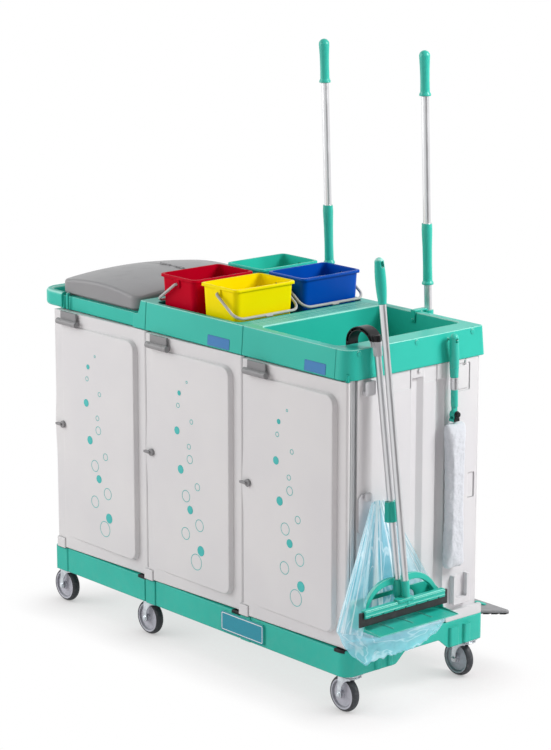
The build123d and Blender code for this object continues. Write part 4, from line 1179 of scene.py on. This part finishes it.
def through(knots: tuple[tuple[float, RGB], ...], share: float) -> Vector:
    """Smooth line through points at given shares of its length.

    Args:
        knots: Share from 0 to 1 and place of each point, in order.
        share: Where the line is read.

    Returns:
        The place at that share.
    """
    shares = [knot[0] for knot in knots]
    places = [Vector(knot[1]) for knot in knots]
    last = len(knots) - 1
    index = max((i for i in range(last) if shares[i] <= share), default=0)

    def slope(i: int) -> Vector:
        """Direction of the line at one of its points."""
        before, after = max(i - 1, 0), min(i + 1, last)
        return (places[after] - places[before]) / (shares[after] - shares[before])

    span = shares[index + 1] - shares[index]
    t = (share - shares[index]) / span
    square, cube = t * t, t * t * t
    return ((2 * cube - 3 * square + 1) * places[index] + (cube - 2 * square + t) * span * slope(index)
            + (3 * square - 2 * cube) * places[index + 1] + (cube - square) * span * slope(index + 1))


@dataclass
class BinBag:
    """Thin bag round the dustpan's frame, with its end drawn up to the clip on the pole."""

    tip: tuple[tuple[float, RGB], ...] = (
        (0.0, (0.718, -0.227, 0.662)), (0.25, (0.707, -0.234, 0.666)),
        (0.6, (0.706, -0.206, 0.668)), (1.0, (0.712, -0.174, 0.662)))
    mouth: tuple[tuple[float, RGB], ...] = (
        (0.0, (0.782, -0.336, 0.292)), (0.25, (0.712, -0.376, 0.301)), (0.6, (0.699, -0.176, 0.297)),
        (0.85, (0.703, 0.018, 0.316)), (1.0, (0.724, 0.021, 0.353)))
    ring: tuple[tuple[float, RGB], ...] = (
        (0.0, (0.782, -0.338, 0.292)), (0.125, (0.712, -0.376, 0.301)), (0.3, (0.699, -0.176, 0.296)),
        (0.45, (0.700, 0.012, 0.298)), (0.55, (0.762, 0.016, 0.298)), (0.65, (0.818, -0.028, 0.292)),
        (0.78, (0.824, -0.176, 0.291)), (0.9, (0.816, -0.311, 0.290)), (1.0, (0.782, -0.338, 0.292)))
    hem: tuple[tuple[float, RGB], ...] = (
        (0.0, (0.792, -0.334, 0.204)), (0.125, (0.720, -0.356, 0.259)), (0.3, (0.703, -0.176, 0.226)),
        (0.45, (0.707, -0.012, 0.236)), (0.55, (0.756, -0.004, 0.240)), (0.65, (0.800, -0.040, 0.246)),
        (0.78, (0.802, -0.158, 0.216)), (0.9, (0.800, -0.254, 0.217)), (1.0, (0.792, -0.334, 0.204)))
    tail_middle: RGB = (0.77, -0.16, 0.3)
    pouch_middle: RGB = (0.755, -0.17, 0.245)
    columns: int = 120
    tail_rows: int = 44
    pouch_rows: int = 30
    pouch_side: float = 0.6
    folds: float = 11.0
    crease: float = 0.007
    pouch_crease: float = 0.0112
    pouch_lift: float = 0.011
    weld: float = 0.0002
    cut: tuple[float, float] = (0.92, 0.46)

    def build(self) -> None:
        """Builds the film as one sheet: the drawn-up tail and the pouch below the pan."""
        bm = bmesh.new()
        laid = bm.loops.layers.uv.new("film")
        self._tail(bm, laid)
        self._pouch(bm, laid)
        bmesh.ops.remove_doubles(bm, verts=bm.verts, dist=self.weld)
        made = piece_from(bm, "bag_film_sheet", "dustpan", Paint.FILM)
        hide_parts("bag")

    def _grid(self, bm: bmesh.types.BMesh, laid: bmesh.types.BMLayerItem, rows: int,
              start: float) -> list[bmesh.types.BMVert]:
        """Adds a unit grid with its own film coordinates.

        Args:
            bm: The mesh in the making.
            laid: The film's coordinate layer.
            rows: Number of rows.
            start: Where the film coordinate down the sheet begins.

        Returns:
            The grid's vertices.
        """
        verts = bmesh.ops.create_grid(bm, x_segments=self.columns, y_segments=rows, size=0.5)["verts"]
        for face in {face for vert in verts for face in vert.link_faces}:
            for loop in face.loops:
                loop[laid].uv = (loop.vert.co.x + 0.5, start + loop.vert.co.y + 0.5)
        return verts

    def _tail(self, bm: bmesh.types.BMesh, laid: bmesh.types.BMLayerItem) -> None:
        """Sheet from the gathered end down to the pan's frame, with folds that fan out.

        Args:
            bm: The mesh in the making.
            laid: The film's coordinate layer.
        """
        middle = Vector(self.tail_middle)
        for vert in self._grid(bm, laid, self.tail_rows, 0.0):
            across, down = vert.co.x + 0.5, vert.co.y + 0.5
            edge = through(self.mouth, across)
            point = through(self.tip, across).lerp(edge, down)
            out = (edge - middle).normalized()
            wander = 0.5 * noise.noise(Vector((across * 7.0, down * 1.5, 3.0)))
            fold = abs(math.sin(math.pi * (self.folds * across + wander)))
            small = noise.noise(Vector((across * 30.0, down * 6.0, 8.0)))
            swell = self.crease * (0.25 + 0.75 * down) * (1.0 - down ** 6)
            vert.co = point + out * (swell * (fold - 0.6) + 0.3 * swell * small)

    def _pouch(self, bm: bmesh.types.BMesh, laid: bmesh.types.BMLayerItem) -> None:
        """Hanging bottom of the bag, crumpled towards its hem and closed underneath.

        Args:
            bm: The mesh in the making.
            laid: The film's coordinate layer.
        """
        middle = Vector(self.pouch_middle)
        for vert in self._grid(bm, laid, self.pouch_rows, 1.0):
            across, down = vert.co.x + 0.5, vert.co.y + 0.5
            side = min(down / self.pouch_side, 1.0)
            under = max(down - self.pouch_side, 0.0) / (1.0 - self.pouch_side)
            point = through(self.ring, across).lerp(through(self.hem, across), side)
            point = point.lerp(middle, under * 0.995)
            out = Vector((point.x - middle.x, point.y - middle.y, 0.0)).normalized()
            turn = Vector((math.cos(2 * math.pi * across), math.sin(2 * math.pi * across), 0.0))
            fold = noise.noise(turn * 3.2 + Vector((0.0, 0.0, side * 1.6)))
            small = noise.noise(turn * 9.0 + Vector((4.0, 0.0, down * 5.0)))
            swell = self.pouch_crease * side * (1.0 - under)
            lift = Vector((0.0, 0.0, self.pouch_lift * small * side))
            vert.co = point + out * swell * (fold + 0.4 * small) + lift


@dataclass
class WashingSleeve:
    """Pile sleeve drawn over the window washer's bar."""

    voxel: float = 0.005
    slack: float = 0.004
    corner: float = 0.015
    swell_cap: float = 0.006
    pressure: float = 4.0
    frames: int = 20
    tufts: tuple[tuple[float, float], ...] = ((0.0014, 150.0), (0.0018, 48.0))

    def build(self) -> None:
        """Builds the sleeve: a rounded form, swollen as cloth, with tufts of pile."""
        low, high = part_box("washer_sleeve")
        inset = Vector((self.slack, self.slack, self.slack))
        bm = bmesh.new()
        box_between(bm, low + inset, high - inset)
        round_edges(bm, bm.edges[:], self.corner)
        made = piece_from(bm, "washing_sleeve", "washer_head", Paint.PILE)
        fine = made.modifiers.new("fine", "REMESH")
        fine.mode = "VOXEL"
        fine.voxel_size = self.voxel
        self._apply(made, fine)
        self._swell(made)
        self._tufts(made)
        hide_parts("washer_sleeve")

    def _apply(self, made: bpy.types.Object, modifier: bpy.types.Modifier) -> None:
        """Makes a modifier's result the piece's own mesh.

        Args:
            made: The sleeve.
            modifier: Its modifier, a voxel remesh or a cloth.
        """
        bpy.context.view_layer.update()
        evaluated = made.evaluated_get(bpy.context.evaluated_depsgraph_get())
        settled = bpy.data.meshes.new_from_object(evaluated)
        made.modifiers.remove(modifier)
        settled.materials.clear()
        settled.materials.append(Paint.PILE.material())
        for polygon in settled.polygons:
            polygon.use_smooth = True
        made.data = settled

    def _swell(self, made: bpy.types.Object) -> None:
        """Lets the sleeve swell a little as cloth under pressure, up to the cap.

        Args:
            made: The sleeve.
        """
        before = [vert.co.copy() for vert in made.data.vertices]
        cloth = made.modifiers.new("swell", "CLOTH")
        cloth.settings.use_pressure = True
        cloth.settings.uniform_pressure_force = self.pressure
        cloth.settings.effector_weights.gravity = 0.0
        scene = bpy.context.scene
        for number in range(1, self.frames + 1):
            scene.frame_set(number)
        self._apply(made, cloth)
        scene.frame_set(1)
        for vert, start in zip(made.data.vertices, before):
            move = vert.co - start
            if move.length > self.swell_cap:
                vert.co = start + move.normalized() * self.swell_cap

    def _tufts(self, made: bpy.types.Object) -> None:
        """Raises small tufts of pile and rounds the mesh once more.

        Args:
            made: The sleeve.
        """
        bm = bmesh.new()
        bm.from_mesh(made.data)
        bmesh.ops.subdivide_edges(bm, edges=bm.edges[:], cuts=1, smooth=0.4, use_grid_fill=True)
        bm.normal_update()
        for vert in bm.verts:
            tuft = sum(rise * noise.noise(vert.co * scale) for rise, scale in self.tufts)
            vert.co += vert.normal * tuft
        bm.to_mesh(made.data)
        bm.free()


@dataclass
class EndTools:
    """Dustpan with its bag, squeegee and window washer at the right end."""

    bag: BinBag = field(default_factory=BinBag)
    sleeve: WashingSleeve = field(default_factory=WashingSleeve)
    ferrule: tuple[float, float] = (0.957, 0.995)
    knob_side: float = 0.714
    socket_side: float = 0.685
    socket_top: float = 1.152

    def dress(self) -> None:
        """Gives the tools' nodes their finishes."""
        for node in ("dustpan_pole", "squeegee_pole"):
            dress(node, Paint.TUBE.material())
        for node in ("dustpan_yoke", "dustpan_pan", "squeegee_grip", "squeegee_head"):
            dress(node, Paint.TEAL.material())
        socket = Zone(SOCKET_GREY, left=self.socket_side, high=self.socket_top)
        hook = ZonedPlastic("dustpan_hook", BLACK, linear(38, 38, 40), 0.3, 0.42, zones=(socket,))
        dress("dustpan_grip", hook.make())
        dress("squeegee_blade", Paint.RUBBER.material())
        handle = GrippedPole("washer_handle", linear(214, 215, 217), SOCKET_GREY,
                             grip=TEAL_LIT, grip_deep=TEAL_SHADE,
                             bands=((0.0, self.ferrule[0]), (self.ferrule[1], FAR)))
        dress("washer_grip", handle.make())
        knob = Zone(linear(28, 28, 30), left=self.knob_side)
        dress("washer_head", ZonedPlastic("washer_swivel", TEAL_LIT, TEAL_SHADE, zones=(knob,)).make())
        dress("washer_sleeve", Paint.PILE.material())
        dress("bag", Paint.FILM.material())

    def build(self) -> None:
        """Adds the bag's film and the washer's sleeve."""
        self.bag.build()
        self.sleeve.build()


@dataclass
class Studio:
    """Camera, lamps, world and floor."""

    azimuth: float = 49.02
    elevation: float = 13.36
    distance: float = 8.0991
    focal_pixels: float = 2538.51
    image_height: int = 750
    target: Vector = field(default_factory=lambda: Vector((0.0332, -0.026, 0.9025)))
    key_place: RGB = (3.2, 2.2, 3.4)
    key_size: float = 1.8
    key_power: float = 180.0
    fill_place: RGB = (-3.4, -3.6, 2.8)
    fill_size: float = 4.0
    fill_power: float = 168.0
    lamp_aim: RGB = (0.0, 0.0, 0.7)
    sky_light: float = 0.38
    card_place: RGB = (2.2, -0.2, 1.1)
    card_size: tuple[float, float] = (2.0, 2.6)
    card_colour: RGB = (0.36, 0.36, 0.36)
    floor_reach: float = 30.0
    # Pinkish, to cancel the teal light that bounces onto the floor.
    floor_colour: RGB = (0.95, 0.87, 0.88)
    foot_length: float = 0.7
    foot_width: float = 0.25
    shadow_reach: float = 0.26
    shadow_fade: float = 0.72
    contact_reach: float = 0.2
    contact_shade: float = 0.46

    def build(self) -> None:
        """Sets up the whole studio."""
        self._camera()
        self._world()
        self._floor()
        self._card()
        self._lamp("key_lamp", self.key_place, self.key_size, self.key_power)
        self._lamp("fill_lamp", self.fill_place, self.fill_size, self.fill_power)
        bpy.context.scene.view_settings.view_transform = "Standard"

    def _camera(self) -> None:
        """Places the camera at the photograph's angle."""
        data = bpy.data.cameras.new("camera")
        data.sensor_fit = "VERTICAL"
        data.sensor_height = 36.0
        data.lens = self.focal_pixels * data.sensor_height / self.image_height
        made = bpy.data.objects.new("camera", data)
        turn, rise = math.radians(self.azimuth), math.radians(self.elevation)
        away = Vector((math.sin(turn) * math.cos(rise), -math.cos(turn) * math.cos(rise), math.sin(rise)))
        made.location = self.target + away * self.distance
        made.rotation_euler = (-away).to_track_quat("-Z", "Y").to_euler()
        bpy.context.scene.collection.objects.link(made)
        bpy.context.scene.camera = made

    def _seen(self, graph: Graph) -> Socket:
        """Mask of what the eye meets straight, in a reflection or through film.

        Args:
            graph: The graph of a world or a material.

        Returns:
            The mask's socket.
        """
        path = graph.node("ShaderNodeLightPath").outputs
        onward = graph.math("MAXIMUM", path["Is Glossy Ray"], path["Is Transmission Ray"])
        return graph.math("MAXIMUM", path["Is Camera Ray"], onward)

    def _prop(self, bm: bmesh.types.BMesh, name: str, material: bpy.types.Material) -> bpy.types.Object:
        """Turns a bmesh into a thing of the studio.

        Args:
            bm: The mesh in the making, freed here.
            name: The thing's name.
            material: Its material.

        Returns:
            The new object.
        """
        mesh = bpy.data.meshes.new(name)
        bm.to_mesh(mesh)
        bm.free()
        mesh.materials.append(material)
        made = bpy.data.objects.new(name, mesh)
        bpy.context.scene.collection.objects.link(made)
        return made

    def _world(self) -> None:
        """White to the eye and in reflections, softer as light."""
        world = bpy.data.worlds.new("studio")
        world.use_nodes = True
        graph = Graph(world.node_tree)
        sky = graph.node("ShaderNodeBackground")
        sky.inputs["Color"].default_value = (1.0, 1.0, 1.0, 1.0)
        graph.join(graph.spread(self._seen(graph), self.sky_light, 1.0), sky.inputs["Strength"])
        graph.join(sky.outputs[0], graph.node("ShaderNodeOutputWorld").inputs["Surface"])
        bpy.context.scene.world = world

    def _floor(self) -> None:
        """Pale floor that keeps part of the lamps' shadow near the trolley under a painted glow, which
        occlusion darkens into a painted contact shadow, and is white further off.
        """
        material, graph = new_material("studio_floor")
        parts = graph.split(graph.node("ShaderNodeTexCoord").outputs["Object"])
        squares = []
        for axis, reach in (("X", self.foot_length), ("Y", self.foot_width)):
            past = graph.math("SUBTRACT", graph.math("ABSOLUTE", parts[axis]), reach)
            squares.append(graph.math("POWER", graph.math("MAXIMUM", past, 0.0), 2.0))
        away = graph.math("SQRT", graph.math("ADD", *squares))
        # Near the trolley the painted glow still lifts most of the lamps' shadow; further off it is plain
        # white.
        far = graph.spread(graph.ramp(away, 0.0, self.shadow_reach), self.shadow_fade, 1.0)
        matt = graph.node("ShaderNodeBsdfDiffuse")
        matt.inputs["Color"].default_value = (*self.floor_colour, 1.0)
        # Painted contact shadow: occlusion darkens the floor's glow near the trolley's parts.
        near = graph.node("ShaderNodeAmbientOcclusion", samples=12)
        near.inputs["Distance"].default_value = self.contact_reach
        painted_glow = graph.node("ShaderNodeEmission")
        graph.join(graph.spread(near.outputs["AO"], self.contact_shade, 1.0), painted_glow.inputs["Strength"])
        blend = graph.node("ShaderNodeMixShader")
        graph.join(graph.math("MULTIPLY", far, self._seen(graph)), blend.inputs[0])
        graph.join(matt.outputs[0], blend.inputs[1])
        graph.join(painted_glow.outputs[0], blend.inputs[2])
        graph.join(blend.outputs[0], graph.node("ShaderNodeOutputMaterial").inputs["Surface"])
        bm = bmesh.new()
        bmesh.ops.create_grid(bm, x_segments=1, y_segments=1, size=self.floor_reach)
        made = self._prop(bm, "floor", material)

    def _card(self) -> None:
        """Grey card beside the set that only reflections show, so that bright tube has a dark core."""
        material, graph = new_material("card_black")
        matt = graph.node("ShaderNodeBsdfDiffuse")
        matt.inputs["Color"].default_value = (*self.card_colour, 1.0)
        graph.join(matt.outputs[0], graph.node("ShaderNodeOutputMaterial").inputs["Surface"])
        bm = bmesh.new()
        bmesh.ops.create_grid(bm, x_segments=1, y_segments=1, size=0.5)
        bmesh.ops.scale(bm, vec=(self.card_size[1], self.card_size[0], 1.0), verts=bm.verts)
        upright = Matrix.Rotation(math.radians(90.0), 3, "Y")
        bmesh.ops.rotate(bm, verts=bm.verts, cent=(0.0, 0.0, 0.0), matrix=upright)
        bmesh.ops.translate(bm, verts=bm.verts, vec=self.card_place)
        made = self._prop(bm, "dark_card", material)
        made.visible_camera = made.visible_diffuse = False
        made.visible_shadow = made.visible_transmission = False

    def _lamp(self, name: str, place: RGB, size: float, power: float) -> None:
        """Adds a soft square lamp that faces the trolley.

        Args:
            name: The lamp's name.
            place: Where it stands.
            size: Side of its square in metres.
            power: Its power in watts.
        """
        data = bpy.data.lights.new(name, "AREA")
        data.shape = "SQUARE"
        data.size = size
        data.energy = power
        made = bpy.data.objects.new(name, data)
        made.location = place
        toward = Vector(self.lamp_aim) - Vector(place)
        made.rotation_euler = toward.to_track_quat("-Z", "Y").to_euler()
        bpy.context.scene.collection.objects.link(made)


def main() -> None:
    """Builds the studio and dresses the trolley, sub-assembly by sub-assembly."""
    logging.basicConfig(level=logging.INFO, format="%(name)s: %(message)s")
    Studio().build()
    cabinet = Cabinet()
    cabinet.dress()
    cabinet.build()
    doors = Doors()
    doors.dress()
    doors.build()
    Casters().dress()
    Buckets().dress()
    Mops().dress()
    tools = EndTools()
    tools.dress()
    tools.build()


if __name__ == "__main__":
    main()
